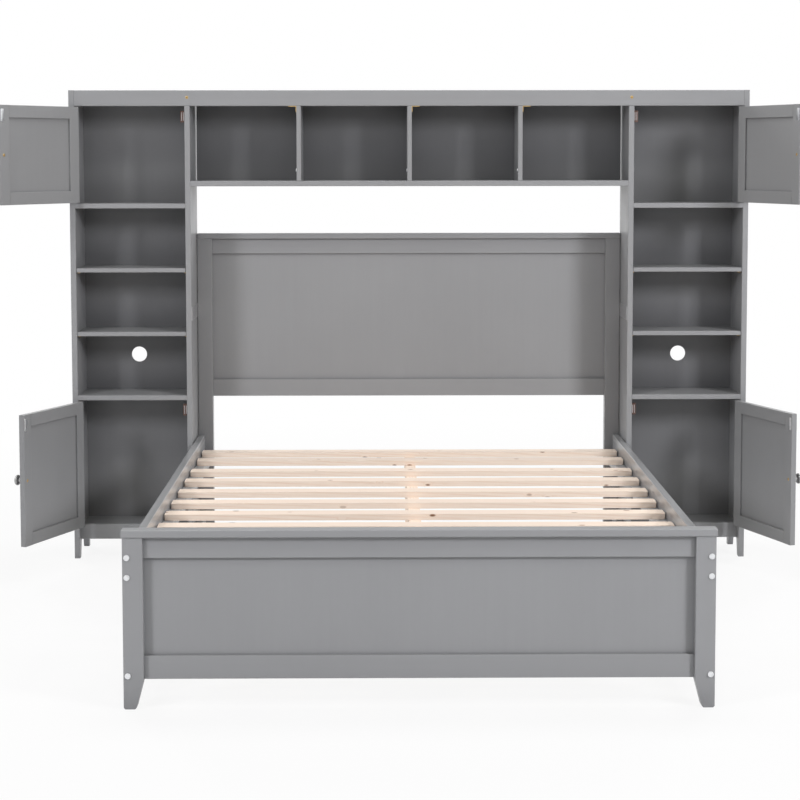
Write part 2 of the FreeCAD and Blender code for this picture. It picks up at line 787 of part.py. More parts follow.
def knob(door_heights):
    """A round knob: foot, neck, and a flared head with a domed face."""
    rim_z = knob_projection - knob_dome_height
    flare_z = knob_neck_length + knob_flare_up_share * (rim_z - knob_neck_length)
    flare_radius = knob_neck_radius + knob_flare_out_share * (knob_head_radius - knob_neck_radius)
    ball_radius = (knob_head_radius ** 2 + knob_dome_height ** 2) / (2.0 * knob_dome_height)
    dome_x = knob_head_radius / 2.0
    dome_z = knob_projection - ball_radius + math.sqrt(ball_radius ** 2 - dome_x ** 2)
    outline = [
        Part.LineSegment(at(0, 0, 0), at(knob_base_radius, 0, 0)),
        Part.LineSegment(at(knob_base_radius, 0, 0), at(knob_base_radius, 0, knob_base_height)),
        Part.LineSegment(at(knob_base_radius, 0, knob_base_height),
                         at(knob_neck_radius, 0, knob_base_height)),
        Part.LineSegment(at(knob_neck_radius, 0, knob_base_height),
                         at(knob_neck_radius, 0, knob_neck_length)),
        Part.Arc(at(knob_neck_radius, 0, knob_neck_length), at(flare_radius, 0, flare_z),
                 at(knob_head_radius, 0, rim_z)),
        Part.Arc(at(knob_head_radius, 0, rim_z), at(dome_x, 0, dome_z), at(0, 0, knob_projection)),
        Part.LineSegment(at(0, 0, knob_projection), at(0, 0, 0)),
    ]
    face = Part.Face(Part.Wire([curve.toShape() for curve in outline]))
    body = face.revolve(at(0, 0, 0), Z_AXIS, 360.0)
    body.rotate(at(0, 0, 0), X_AXIS, 90.0)
    body.translate(knob_axis_start(door_heights, door_y_range[0]))
    return body.cut(knob_screw(door_heights, screw_clearance))


def strike_plate(door_heights):
    top = door_heights[1] - strike_top_setback
    edge_x = door_x_range[0] + strike_edge_setback
    plate = block((edge_x, edge_x + strike_width), (door_y_range[1], door_y_range[1] + strike_thickness),
                  (top - strike_height, top))
    return eased(plate, strike_corner_radius, Y_AXIS)


def door_frame(heights):
    """Two stiles and two rails, and the panel they hold."""
    joint = door_joinery
    span = (door_x_range[0] + door_stile_width, door_x_range[1] - door_stile_width)
    lower = (heights[0], heights[0] + door_rail_height)
    upper = (heights[1] - door_rail_height, heights[1])
    opening = (lower[1], upper[0])
    panel_y = middle_band(door_y_range, joint.panel_thickness)
    members = [framed_rail(span, lower, door_y_range, panel_y, joint, "top"),
               framed_rail(span, upper, door_y_range, panel_y, joint, "bottom")]
    for inner_x, edge_x, outward in ((span[0], door_x_range[0], -1), (span[1], door_x_range[1], 1)):
        stile = eased(block((inner_x, edge_x), door_y_range, heights), joint.edge_radius, Z_AXIS)
        stile = stile.cut(side_groove(inner_x, outward, opening, panel_y, joint))
        for rail_heights in (lower, upper):
            stile = stile.cut(mortise(inner_x, outward, rail_heights, door_y_range, joint))
        members.append(stile.cut(knob_screw(heights, 0)))
    return members, housed_panel(span, opening, panel_y, joint)


def opened(shape, angle, side):
    """A closed door's piece swung open, and moved to the left tower if side is -1."""
    turned = shape.copy()
    turned.rotate(at(hinge_x, hinge_y, 0), Z_AXIS, angle)
    return turned if side > 0 else mirrored(turned)


def door_nodes(name, heights, angle, side):
    members, panel = door_frame(heights)
    moving_indices = range(1, hinge_knuckle_count, 2)
    fittings = [strike_plate(heights), knob_screw(heights, 0)]
    fittings += [hinge_leaf(base_z, -1, moving_indices) for base_z in hinge_bases(heights)]
    return {
        name + "_frame": opened(group(members), angle, side),
        name + "_panel": opened(panel, angle, side),
        name + "_knob": opened(knob(heights), angle, side),
        name + "_fittings": opened(group(fittings), angle, side),
    }


def bed_nodes():
    nodes = board_nodes("footboard", "leg", footboard_height, leg_taper_height,
                        footboard_upper_rail_height, footboard_lower_rail_height,
                        -bed_end_y, cap_overhang, bolt_leg_cuts(1))
    nodes.update(board_nodes("headboard", "post", headboard_height, headboard_floor_gap,
                             headboard_upper_rail_height, headboard_lower_rail_height,
                             clear_half_length, 0, bolt_leg_cuts(-1)))
    side_rail = long_rail(side_rail_floor_gap, side_rail_height, side_rail_bolt_heights)
    nodes["side_rail_right"] = side_rail
    nodes["side_rail_left"] = mirrored(side_rail)
    nodes["lower_side_rails"] = on_both_sides(
        [long_rail(lower_rail_floor_gap, lower_rail_height, lower_rail_bolt_heights)])
    nodes["slat_ledgers"] = on_both_sides([slat_ledger()])
    nodes["slats"] = group(slat(center_y) for center_y in slat_centers())
    nodes["centre_beam"] = centre_beam()
    nodes["centre_legs"] = group(centre_leg(y) for y in (-beam_leg_spacing, 0, beam_leg_spacing))
    nodes["bed_bolts"] = on_both_sides([bed_bolt(*place) for place in bolt_places()])
    nodes["barrel_nuts"] = on_both_sides([barrel_nut(*place) for place in bolt_places()])
    return nodes


def all_nodes():
    nodes = bed_nodes()
    nodes.update(tower_nodes())
    nodes.update(bridge_nodes())
    nodes["hinge_fixed_leaves"] = on_both_sides(
        fixed_hinge_halves(upper_door_heights) + fixed_hinge_halves(lower_door_heights))
    nodes.update(door_nodes("door_upper_left", upper_door_heights, upper_left_open_angle, -1))
    nodes.update(door_nodes("door_lower_left", lower_door_heights, lower_left_open_angle, -1))
    nodes.update(door_nodes("door_upper_right", upper_door_heights, upper_right_open_angle, 1))
    nodes.update(door_nodes("door_lower_right", lower_door_heights, lower_right_open_angle, 1))
    return nodes


def save(nodes):
    os.makedirs("parts", exist_ok=True)
    for name, shape in nodes.items():
        shape.exportStep("parts/" + name + ".step")
        print(name, len(shape.Solids), "solids", round(shape.Volume / 1000.0, 1), "cm3", shape.isValid())


finished = all_nodes()
save(finished)
whole = Part.makeCompound(list(finished.values())).BoundBox
print("nodes", len(finished), "size", [round(v, 1) for v in (whole.XLength, whole.YLength, whole.ZLength)])
print("hinge axes at x", hinge_x, "and its mirror image, y", hinge_y)
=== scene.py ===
# %% [markdown]
# # A painted double bed between two cabinet towers
# The bed stands between two shallow towers with cupboards and open shelves. A bridge of four
# open compartments joins them over the headboard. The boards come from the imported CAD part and
# are only given their finish here. What a plain solid can't show is modelled in this lesson:
# the planed pine slats, the turned knobs, the bolts, hinges, catches and screws.

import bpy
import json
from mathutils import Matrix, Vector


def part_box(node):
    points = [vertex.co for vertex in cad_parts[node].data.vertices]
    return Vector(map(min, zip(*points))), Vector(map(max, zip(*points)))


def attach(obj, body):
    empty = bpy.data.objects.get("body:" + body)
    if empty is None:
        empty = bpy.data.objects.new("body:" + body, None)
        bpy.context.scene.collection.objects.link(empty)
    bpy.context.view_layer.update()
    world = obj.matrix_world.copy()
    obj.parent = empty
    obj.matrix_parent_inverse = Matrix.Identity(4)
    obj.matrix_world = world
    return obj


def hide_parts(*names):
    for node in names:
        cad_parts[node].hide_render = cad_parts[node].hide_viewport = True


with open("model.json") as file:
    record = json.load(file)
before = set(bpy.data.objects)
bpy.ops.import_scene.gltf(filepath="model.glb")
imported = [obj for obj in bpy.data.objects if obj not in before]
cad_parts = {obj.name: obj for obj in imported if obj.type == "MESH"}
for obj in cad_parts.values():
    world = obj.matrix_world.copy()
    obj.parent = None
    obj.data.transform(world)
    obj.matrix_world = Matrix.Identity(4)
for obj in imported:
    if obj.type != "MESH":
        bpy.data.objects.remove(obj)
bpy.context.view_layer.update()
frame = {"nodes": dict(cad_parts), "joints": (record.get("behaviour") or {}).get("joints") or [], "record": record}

# %% [markdown]
# Small measures below are in millimetres, as a joiner would write them, and are brought to
# metres by one factor. Many nodes hold several equal pieces, such as the ten slats or the
# twelve bolts, so a helper splits a node into its loose shells and gives the box of each. It
# can first turn an open door back to its closed place, where its fittings line up with the
# axes.

# %% Measure the pieces of a node
import json
import math
import random

import bmesh
import bpy
from mathutils import Matrix, Vector

MM = 0.001
ROOT = "bed_and_towers"
SAME_CORNER = 0.001 * MM


class Span:
    """The box of one solid: low and high corner, middle and size."""

    def __init__(self, points):
        self.low = Vector([min(p[axis] for p in points) for axis in range(3)])
        self.high = Vector([max(p[axis] for p in points) for axis in range(3)])
        self.middle = (self.low + self.high) / 2
        self.size = self.high - self.low


def solids_of(node, turn_back=Matrix.Identity(4)):
    """The boxes of the separate solids in a node, sorted by place."""
    bm = bmesh.new()
    bm.from_mesh(frame["nodes"][node].data)
    bmesh.ops.remove_doubles(bm, verts=bm.verts, dist=SAME_CORNER)
    bm.transform(turn_back)
    left, spans = set(bm.verts), []
    while left:
        shell, waiting = [], [left.pop()]
        while waiting:
            vert = waiting.pop()
            shell.append(vert)
            for edge in vert.link_edges:
                other = edge.other_vert(vert)
                if other in left:
                    left.discard(other)
                    waiting.append(other)
        spans.append(Span([vert.co for vert in shell]))
    bm.free()
    return sorted(spans, key=lambda span: tuple(round(c, 4) for c in span.middle))


slat_spans = sorted(solids_of("slats"), key=lambda span: span.middle.y)
print("slats", len(slat_spans), "first is", [round(c, 4) for c in slat_spans[0].size])

# %% [markdown]
# ## The camera
# The photograph was taken from the foot end, a little left of the middle, with a long lens.
# The camera's place, in metres, and its turns, in radians, come from measured corners of the
# object. The lens shift keeps the uprights nearly parallel, as they are in the photograph.

# %% Camera
LENS_PIXELS = 1911.8
FRAME_PIXELS = 800
SENSOR_WIDTH = 36.0
LENS_SHIFT = (-0.0018, -0.12)
FAR_CLIP = 60.0
CAMERA_PLACE = (-0.0865, -5.5879, 1.3572)
PITCH, YAW, ROLL = 0.0786, -0.0093, -0.0009

camera_data = bpy.data.cameras.new("photo_camera")
camera_data.sensor_width = SENSOR_WIDTH
camera_data.lens = LENS_PIXELS / FRAME_PIXELS * SENSOR_WIDTH
camera_data.shift_x, camera_data.shift_y = LENS_SHIFT
camera_data.clip_end = FAR_CLIP
camera = bpy.data.objects.new("photo_camera", camera_data)
bpy.context.scene.collection.objects.link(camera)
bpy.context.scene.camera = camera

forward = Vector((-math.sin(YAW) * math.cos(PITCH), math.cos(YAW) * math.cos(PITCH), -math.sin(PITCH)))
level = Vector((math.cos(YAW), math.sin(YAW), 0))
upright = level.cross(forward)
right = level * math.cos(ROLL) + upright * math.sin(ROLL)
up = upright * math.cos(ROLL) - level * math.sin(ROLL)
camera_turn = Matrix((right, up, -forward)).transposed().to_4x4()
camera.matrix_world = Matrix.Translation(CAMERA_PLACE) @ camera_turn
print("lens", round(camera_data.lens, 1), "mm")

# %% [markdown]
# ## The studio
# A product studio lights furniture with soft boxes on both sides and one overhead. Here two
# stand low and well round to each side, and two smaller, warmer ones hang above them, so the
# open compartments stay in shade while every front is lit. Two more behind the object only
# serve the views from there. Each box is a rectangle that faces the bed. Its level says how
# bright it makes a surface that faces it, where 1 renders a colour as it is written, so the
# levels add up by eye. The low boxes and the back ones are kept out of mirrored light: seen at
# a grazing angle, they would turn the towers' tops white.

# %% Lamps
AIM = Vector((0, 0.4, 0.75))
MIRRORED_ABOVE = 30
COOL, WARM = (0.985, 0.98, 1.02), (1.02, 1.01, 0.95)


def facing_place(location, direction):
    """Moves something made at the origin, facing +Z, to a place where it faces a direction."""
    return Matrix.Translation(location) @ Vector(direction).to_track_quat("Z", "Y").to_matrix().to_4x4()


def soft_box(name, azimuth, elevation, distance, width, height, level, tint=(1, 1, 1)):
    """A soft box seen from the bed at an azimuth, where 0 is the foot end and 90 is the right."""
    turn, lift = math.radians(azimuth), math.radians(elevation)
    away = Vector((math.sin(turn) * math.cos(lift), -math.cos(turn) * math.cos(lift), math.sin(lift)))
    data = bpy.data.lights.new(name, "AREA")
    data.shape = "RECTANGLE"
    data.size, data.size_y = width, height
    data.energy = math.pi ** 2 * distance ** 2 * level
    data.color = tint
    lamp = bpy.data.objects.new(name, data)
    lamp.matrix_world = facing_place(AIM + away * distance, away)
    lamp.visible_camera = False
    lamp.visible_glossy = elevation > MIRRORED_ABOVE
    bpy.context.scene.collection.objects.link(lamp)
    return lamp


lamps = [
    soft_box("left_front_box", -44, 20, 6.0, 1.0, 1.2, 0.27, COOL),
    soft_box("right_front_box", 44, 20, 6.0, 1.0, 1.2, 0.39, COOL),
    soft_box("left_high_box", -40, 45, 6.0, 0.8, 0.9, 0.10, WARM),
    soft_box("right_high_box", 44, 45, 6.0, 1.2, 0.9, 0.14, WARM),
    soft_box("top_box", 180, 84, 4.0, 3.4, 1.6, 0.66),
    soft_box("left_back_box", -140, 30, 6.0, 1.5, 1.5, 0.30),
    soft_box("right_back_box", 140, 30, 6.0, 1.5, 1.5, 0.30),
]
print("lamps", [lamp.name for lamp in lamps])

# %% [markdown]
# The world gives the faint light that comes from all round, and is white where the camera,
# a reflection or clear glass looks at it. The floor is a pale sweep. The camera sees it
# almost white, with a little of the object's shadow left in it near the object, and quite
# white further away, where a real sweep curves up into the backdrop.

# %% World and floor
WHITE = (1, 1, 1, 1)
AMBIENT = 0.02
FLOOR_GREY = (0.82, 0.82, 0.82, 1)
FLOOR_ROUGHNESS = 0.8
FLOOR_GLOW = 0.88
FLOOR_HALF_WIDTH = 14.0
SWEEP_START, SWEEP_END = 1.9, 4.2


def link(tree, source, target):
    tree.links.new(source, target)


def feed(tree, socket, value):
    """Joins a socket to another one, or sets it to a plain value."""
    if isinstance(value, bpy.types.NodeSocket):
        link(tree, value, socket)
    else:
        socket.default_value = value


def object_place(tree):
    return tree.nodes.new("ShaderNodeTexCoord").outputs["Object"]


def math_node(tree, operation, first, second, clamp=False):
    node = tree.nodes.new("ShaderNodeMath")
    node.operation, node.use_clamp = operation, clamp
    feed(tree, node.inputs[0], first)
    feed(tree, node.inputs[1], second)
    return node.outputs[0]


def ramp(tree, value, low, high, out_low=0.0, out_high=1.0):
    """Maps a value between two limits to two others, smoothly."""
    node = tree.nodes.new("ShaderNodeMapRange")
    node.interpolation_type = "SMOOTHSTEP"
    link(tree, value, node.inputs["Value"])
    for name, number in (("From Min", low), ("From Max", high), ("To Min", out_low), ("To Max", out_high)):
        node.inputs[name].default_value = number
    return node.outputs["Result"]


def seen_directly(tree):
    """1 for rays from the camera, from a mirror or through glass, else 0."""
    path = tree.nodes.new("ShaderNodeLightPath").outputs
    seen = math_node(tree, "ADD", path["Is Camera Ray"], path["Is Glossy Ray"], clamp=True)
    return math_node(tree, "ADD", seen, path["Is Transmission Ray"], clamp=True)


def new_finish(name, **sockets):
    """A material with a Principled shader, and the values that are the same all over it."""
    finish = bpy.data.materials.new(name)
    finish.use_nodes = True
    shader = finish.node_tree.nodes["Principled BSDF"]
    for socket_name, value in sockets.items():
        shader.inputs[socket_name.replace("_", " ")].default_value = value
    return finish, finish.node_tree, shader


world = bpy.data.worlds.new("studio_world")
bpy.context.scene.world = world
world.use_nodes = True
tree = world.node_tree
background = tree.nodes["Background"]
background.inputs["Color"].default_value = WHITE
seen = seen_directly(tree)
unseen = math_node(tree, "SUBTRACT", 1.0, seen)
ambient = math_node(tree, "MULTIPLY", unseen, AMBIENT)
link(tree, math_node(tree, "ADD", seen, ambient), background.inputs["Strength"])

floor_finish, tree, shader = new_finish("pale_floor", Base_Color=FLOOR_GREY, Roughness=FLOOR_ROUGHNESS)
glow = tree.nodes.new("ShaderNodeEmission")
glow.inputs["Color"].default_value = WHITE
distance = tree.nodes.new("ShaderNodeVectorMath")
distance.operation = "LENGTH"
link(tree, object_place(tree), distance.inputs[0])
sweep = ramp(tree, distance.outputs["Value"], SWEEP_START, SWEEP_END, FLOOR_GLOW)
mix = tree.nodes.new("ShaderNodeMixShader")
link(tree, math_node(tree, "MULTIPLY", seen_directly(tree), sweep), mix.inputs[0])
link(tree, shader.outputs[0], mix.inputs[1])
link(tree, glow.outputs[0], mix.inputs[2])
link(tree, mix.outputs[0], tree.nodes["Material Output"].inputs["Surface"])

floor_bm = bmesh.new()
bmesh.ops.create_grid(floor_bm, x_segments=1, y_segments=1, size=FLOOR_HALF_WIDTH)
floor_mesh = bpy.data.meshes.new("studio_floor")
floor_bm.to_mesh(floor_mesh)
floor_bm.free()
floor = bpy.data.objects.new("studio_floor", floor_mesh)
floor_mesh.materials.append(floor_finish)
bpy.context.scene.collection.objects.link(floor)
print("ambient", AMBIENT, "floor glow", FLOOR_GLOW)

# %% [markdown]
# ## Finishes
# Every finish is made of nodes, so it holds at any distance. What several finishes share is
# built once as a node group. The first group reads a board: it stretches a noise along the
# grain, and finds the arrises, which it lightens as a painted highlight where the sprayed
# lacquer also draws thin. It also finds the inner corners between boards and darkens them
# with painted shade.

# %% Node groups: grain under lacquer, painted highlight on arrises, painted shade in corners
BEVEL_RADIUS = 2.0 * MM
CORNER_REACH = 120 * MM
RAY_SAMPLES = 4
CLOUD_SCALE = 3.0
PEEL_SCALE = 420.0
PEEL_SHARE = 0.35


def new_group(name, inputs, outputs):
    """A shader node group. An input is (name, kind, default) and an output is (name, kind)."""
    group = bpy.data.node_groups.new(name, "ShaderNodeTree")
    for socket_name, kind, default in inputs:
        socket = group.interface.new_socket(socket_name, in_out="INPUT", socket_type=kind)
        socket.default_value = default
    for socket_name, kind in outputs:
        group.interface.new_socket(socket_name, in_out="OUTPUT", socket_type=kind)
    return group, group.nodes.new("NodeGroupInput").outputs, group.nodes.new("NodeGroupOutput").inputs


def vector_node(tree, operation, first, second):
    node = tree.nodes.new("ShaderNodeVectorMath")
    node.operation = operation
    feed(tree, node.inputs[0], first)
    feed(tree, node.inputs[1], second)
    return node


def noise_node(tree, vector, scale, detail=3.0, roughness=0.5):
    node = tree.nodes.new("ShaderNodeTexNoise")
    for name, value in (("Vector", vector), ("Scale", scale), ("Detail", detail), ("Roughness", roughness)):
        feed(tree, node.inputs[name], value)
    return node.outputs[0]


def mix_colors(tree, factor, first, second, blend="MIX"):
    """Mixes two colours: sockets 0, 6 and 7 are the factor and the two colours of this node."""
    node = tree.nodes.new("ShaderNodeMix")
    node.data_type, node.blend_type = "RGBA", blend
    for index, value in ((0, factor), (6, first), (7, second)):
        feed(tree, node.inputs[index], value)
    return node.outputs[2]


board_group, given, made = new_group(
    "board_surface",
    [("Color", "NodeSocketColor", (0.35, 0.35, 0.36, 1)), ("Grain Stretch", "NodeSocketVector", (1, 1, 1)),
     ("Streaks", "NodeSocketFloat", 0.05), ("Arris Lift", "NodeSocketFloat", 0.12),
     ("Corner Shade", "NodeSocketFloat", 0.25)],
    [("Color", "NodeSocketColor"), ("Gloss Break", "NodeSocketFloat"), ("Height", "NodeSocketFloat"),
     ("Eased Normal", "NodeSocketVector")])
tree = board_group
place = object_place(tree)
along = vector_node(tree, "MULTIPLY", place, given["Grain Stretch"]).outputs[0]
fibres = noise_node(tree, along, scale=1.0, detail=5.0, roughness=0.6)
cloud = noise_node(tree, place, CLOUD_SCALE, detail=2.0)
peel = noise_node(tree, place, PEEL_SCALE, detail=1.0)
eased = tree.nodes.new("ShaderNodeBevel")
eased.samples = RAY_SAMPLES
eased.inputs["Radius"].default_value = BEVEL_RADIUS
flat_normal = tree.nodes.new("ShaderNodeNewGeometry").outputs["Normal"]
facing = vector_node(tree, "DOT_PRODUCT", eased.outputs[0], flat_normal).outputs["Value"]
# Painted highlight: the colour is lifted on the rounded arrises.
arris = ramp(tree, facing, 0.99, 0.80)
tone = math_node(tree, "SUBTRACT", fibres, 0.5)
tone = math_node(tree, "MULTIPLY", tone, given["Streaks"])
tone = math_node(tree, "ADD", tone, ramp(tree, cloud, 0.3, 0.7, 0.985, 1.015))
tone = math_node(tree, "ADD", tone, math_node(tree, "MULTIPLY", arris, given["Arris Lift"]))
# Painted shade: the colour is darkened in the inner corners that the occlusion finds.
corner = tree.nodes.new("ShaderNodeAmbientOcclusion")
corner.samples = RAY_SAMPLES
corner.inputs["Distance"].default_value = CORNER_REACH
in_corner = ramp(tree, corner.outputs["AO"], 0.95, 0.30)
shaded = math_node(tree, "MULTIPLY", in_corner, given["Corner Shade"])
tone = math_node(tree, "MULTIPLY", tone, math_node(tree, "SUBTRACT", 1.0, shaded))
shade = tree.nodes.new("ShaderNodeCombineColor")
for socket in shade.inputs:
    link(tree, tone, socket)
link(tree, mix_colors(tree, 1.0, given["Color"], shade.outputs[0], "MULTIPLY"), made["Color"])
link(tree, ramp(tree, fibres, 0.2, 0.8), made["Gloss Break"])
orange_peel = math_node(tree, "MULTIPLY", peel, PEEL_SHARE)
link(tree, math_node(tree, "ADD", fibres, orange_peel), made["Height"])
link(tree, eased.outputs[0], made["Eased Normal"])
print("group", board_group.name, len(board_group.nodes), "nodes")

# %% [markdown]
# ### Grey lacquer
# The boards are sprayed in one satin grey with a hint of blue. The wood shows through only as
# the faintest streaks along each board, so the finish takes the direction of the grain: the
# long way of the piece. Roughness wavers a little with the same streaks. The thin backs of
# the towers get a deeper grey as painted shade for the deep compartments, and the back of the
# bridge a deeper one still. The doors get a slightly deeper grey too: painted shade, meant for
# their turned inner faces. The side rails and the aprons keep one grey without the painted
# corner shade, and the rails shine a little more: seen along their length, they mirror the
# slats beside them.

# %% Grey lacquer
LACQUER = (0.350, 0.354, 0.362, 1)
# The three greys after LACQUER are darker copies of it: painted shade for the backs and the doors.
SHADED_BACK_GREY = (0.260, 0.262, 0.268, 1)
SHADED_BRIDGE_GREY = (0.205, 0.207, 0.212, 1)
SHADED_DOOR_GREY = (0.318, 0.321, 0.327, 1)
LACQUER_GRAIN = (2.5, 70)
LACQUER_RELIEF = 0.03 * MM
SATIN, RAIL_SATIN = (0.30, 0.40), (0.16, 0.26)


def group_node(tree, group, **values):
    node = tree.nodes.new("ShaderNodeGroup")
    node.node_tree = group
    for name, value in values.items():
        node.inputs[name.replace("_", " ")].default_value = value
    return node


def bump(tree, shader, height, distance, normal=None):
    node = tree.nodes.new("ShaderNodeBump")
    node.inputs["Strength"].default_value = 1.0
    node.inputs["Distance"].default_value = distance
    link(tree, height, node.inputs["Height"])
    if normal is not None:
        link(tree, normal, node.inputs["Normal"])
    link(tree, node.outputs[0], shader.inputs["Normal"])


def stretch(axis, scales):
    """A pattern's scale on the three axes, from its scale along the grain and across it."""
    along_grain, across_grain = scales
    return tuple(along_grain if name == axis else across_grain for name in "xyz")


def lacquer(axis, name="grey_lacquer", color=LACQUER, corner_shade=0.25, specular=0.2, roughness=SATIN):
    finish, tree, shader = new_finish(name + "_grain_" + axis, Specular_IOR_Level=specular)
    board = group_node(tree, board_group, Color=color, Grain_Stretch=stretch(axis, LACQUER_GRAIN),
                       Streaks=0.05, Arris_Lift=0.10, Corner_Shade=corner_shade)
    link(tree, board.outputs["Color"], shader.inputs["Base Color"])
    link(tree, ramp(tree, board.outputs["Gloss Break"], 0.0, 1.0, *roughness), shader.inputs["Roughness"])
    bump(tree, shader, board.outputs["Height"], LACQUER_RELIEF, board.outputs["Eased Normal"])
    return finish


lacquers = {axis: lacquer(axis) for axis in "xyz"}
even_lacquers = {"x": lacquer("x", "even_grey_lacquer", corner_shade=0.0),
                 "y": lacquer("y", "rail_lacquer", corner_shade=0.0, specular=0.5, roughness=RAIL_SATIN)}
# Darker copies of the lacquer, as painted shade.
shaded_back_lacquer = lacquer("z", "grey_thin_back", SHADED_BACK_GREY)
bridge_back = lacquer("z", "grey_bridge_back", SHADED_BRIDGE_GREY)
shaded_door_lacquer = lacquer("z", "grey_door", SHADED_DOOR_GREY)
print([finish.name for finish in lacquers.values()], shaded_back_lacquer.name, bridge_back.name, shaded_door_lacquer.name)

# %% [markdown]
# ### Bare pine
# The slats and what carries them are planed softwood, almost white, with darker late wood in
# thin lines along the length and a small brown knot here and there. Each slat is cut from
# another board, so its own number, kept as an attribute of its mesh, moves the pattern.

# %% Bare pine
PALE_WOOD = (0.97, 0.83, 0.71, 1)
LATE_WOOD = (0.87, 0.66, 0.51, 1)
KNOT_WOOD = (0.26, 0.13, 0.07, 1)
PINE_GRAIN = (5, 110)
PINE_KNOTS = (20, 45)
PINE_RELIEF = 0.08 * MM

pine_group, given, made = new_group(
    "planed_pine",
    [("Pale", "NodeSocketColor", PALE_WOOD), ("Late", "NodeSocketColor", LATE_WOOD),
     ("Knot", "NodeSocketColor", KNOT_WOOD), ("Grain Stretch", "NodeSocketVector", (1, 1, 1)),
     ("Knot Stretch", "NodeSocketVector", (1, 1, 1))],
    [("Color", "NodeSocketColor"), ("Gloss Break", "NodeSocketFloat"), ("Height", "NodeSocketFloat")])
tree = pine_group
seed = tree.nodes.new("ShaderNodeAttribute")
seed.attribute_name = "board_number"
own = vector_node(tree, "ADD", object_place(tree), seed.outputs["Vector"]).outputs[0]
knot_place = vector_node(tree, "MULTIPLY", own, given["Knot Stretch"]).outputs[0]
cells = tree.nodes.new("ShaderNodeTexVoronoi")
cells.inputs["Scale"].default_value = 1.0
link(tree, knot_place, cells.inputs["Vector"])
pick = tree.nodes.new("ShaderNodeSeparateColor")
link(tree, cells.outputs["Color"], pick.inputs[0])
chosen = ramp(tree, pick.outputs[0], 0.90, 0.92)
knot = math_node(tree, "MULTIPLY", ramp(tree, cells.outputs["Distance"], 0.24, 0.12), chosen)
swirl = math_node(tree, "MULTIPLY", ramp(tree, cells.outputs["Distance"], 0.45, 0.05), chosen)
along = vector_node(tree, "MULTIPLY", own, given["Grain Stretch"]).outputs[0]
wander = noise_node(tree, along, scale=0.35, detail=2.0)
rings = tree.nodes.new("ShaderNodeTexWave")
rings.bands_direction = "DIAGONAL"
for name, number in (("Scale", 0.55), ("Distortion", 5.0), ("Detail", 2.0), ("Detail Scale", 0.6)):
    rings.inputs[name].default_value = number
bend = vector_node(tree, "SCALE", (0, 1, 1), (0, 0, 0))
link(tree, math_node(tree, "MULTIPLY", swirl, 1.4), bend.inputs["Scale"])
link(tree, vector_node(tree, "ADD", along, bend.outputs[0]).outputs[0], rings.inputs["Vector"])
late = ramp(tree, rings.outputs["Fac"], 0.55, 1.0)
late = math_node(tree, "MULTIPLY", late, ramp(tree, wander, 0.25, 0.75, 0.10, 0.60))
fibre = noise_node(tree, along, scale=6.0, detail=3.0, roughness=0.6)
late = math_node(tree, "ADD", late, ramp(tree, fibre, 0.35, 0.75, 0.0, 0.18), clamp=True)
wood = mix_colors(tree, late, given["Pale"], given["Late"])
halo = math_node(tree, "MULTIPLY", swirl, 0.35)
wood = mix_colors(tree, halo, wood, given["Late"])
link(tree, mix_colors(tree, knot, wood, given["Knot"]), made["Color"])
link(tree, fibre, made["Gloss Break"])
ridges = math_node(tree, "MULTIPLY", late, 0.6)
link(tree, math_node(tree, "ADD", fibre, ridges), made["Height"])


def pine(axis):
    finish, tree, shader = new_finish("bare_pine_grain_" + axis, Specular_IOR_Level=0.5)
    board = group_node(tree, pine_group, Grain_Stretch=stretch(axis, PINE_GRAIN),
                       Knot_Stretch=stretch(axis, PINE_KNOTS))
    link(tree, board.outputs["Color"], shader.inputs["Base Color"])
    link(tree, ramp(tree, board.outputs["Gloss Break"], 0.2, 0.8, 0.45, 0.60), shader.inputs["Roughness"])
    bump(tree, shader, board.outputs["Height"], PINE_RELIEF)
    return finish


pines = {axis: pine(axis) for axis in "xyz"}
print("group", pine_group.name, len(pine_group.nodes), "nodes")

# %% [markdown]
# ### Metals and plastic
# The bolts, the hinges, the plates that meet the catches and their screws are bright zinc, and
# the plates between headboard and towers a duller steel. The knobs are satin nickel. The
# screws of the knobs and of the fascia, the brackets and the shelf pins are yellow brass. A
# shared group breaks up their gloss with small spots and patches, because a metal that is
# equally smooth all over looks like plastic. The catches are brown moulded plastic.

# %% Metals and plastic
METAL_RELIEF = 0.004 * MM
METAL_SPOTS = 900.0
NICKEL_SPOTS = 1500.0
PATCH_SCALE = 140.0
TARNISH = (0.45, 0.45, 0.44, 1)
PLASTIC_GRAINS = 1800.0
PLASTIC_RELIEF = 0.01 * MM
DARK_BROWN, MID_BROWN = (0.13, 0.075, 0.060, 1), (0.19, 0.115, 0.095, 1)

metal_group, given, made = new_group(
    "handled_metal",
    [("Color", "NodeSocketColor", (0.8, 0.8, 0.8, 1)), ("Spot Scale", "NodeSocketFloat", METAL_SPOTS),
     ("Low Roughness", "NodeSocketFloat", 0.2), ("High Roughness", "NodeSocketFloat", 0.4)],
    [("Color", "NodeSocketColor"), ("Roughness", "NodeSocketFloat"), ("Height", "NodeSocketFloat")])
tree = metal_group
place = object_place(tree)
spots = noise_node(tree, place, given["Spot Scale"])
patches = ramp(tree, noise_node(tree, place, PATCH_SCALE, detail=2.0), 0.45, 0.75, 0.0, 0.25)
link(tree, mix_colors(tree, patches, given["Color"], TARNISH, "MULTIPLY"), made["Color"])
spread = math_node(tree, "SUBTRACT", given["High Roughness"], given["Low Roughness"])
wear = math_node(tree, "MULTIPLY", ramp(tree, spots, 0.3, 0.7), spread)
link(tree, math_node(tree, "ADD", wear, given["Low Roughness"]), made["Roughness"])
link(tree, spots, made["Height"])


def metal(name, color, low, high, spot_scale=METAL_SPOTS):
    finish, tree, shader = new_finish(name, Metallic=1.0)
    surface = group_node(tree, metal_group, Color=color, Spot_Scale=spot_scale, Low_Roughness=low,
                         High_Roughness=high)
    link(tree, surface.outputs["Color"], shader.inputs["Base Color"])
    link(tree, surface.outputs["Roughness"], shader.inputs["Roughness"])
    bump(tree, shader, surface.outputs["Height"], METAL_RELIEF)
    return finish


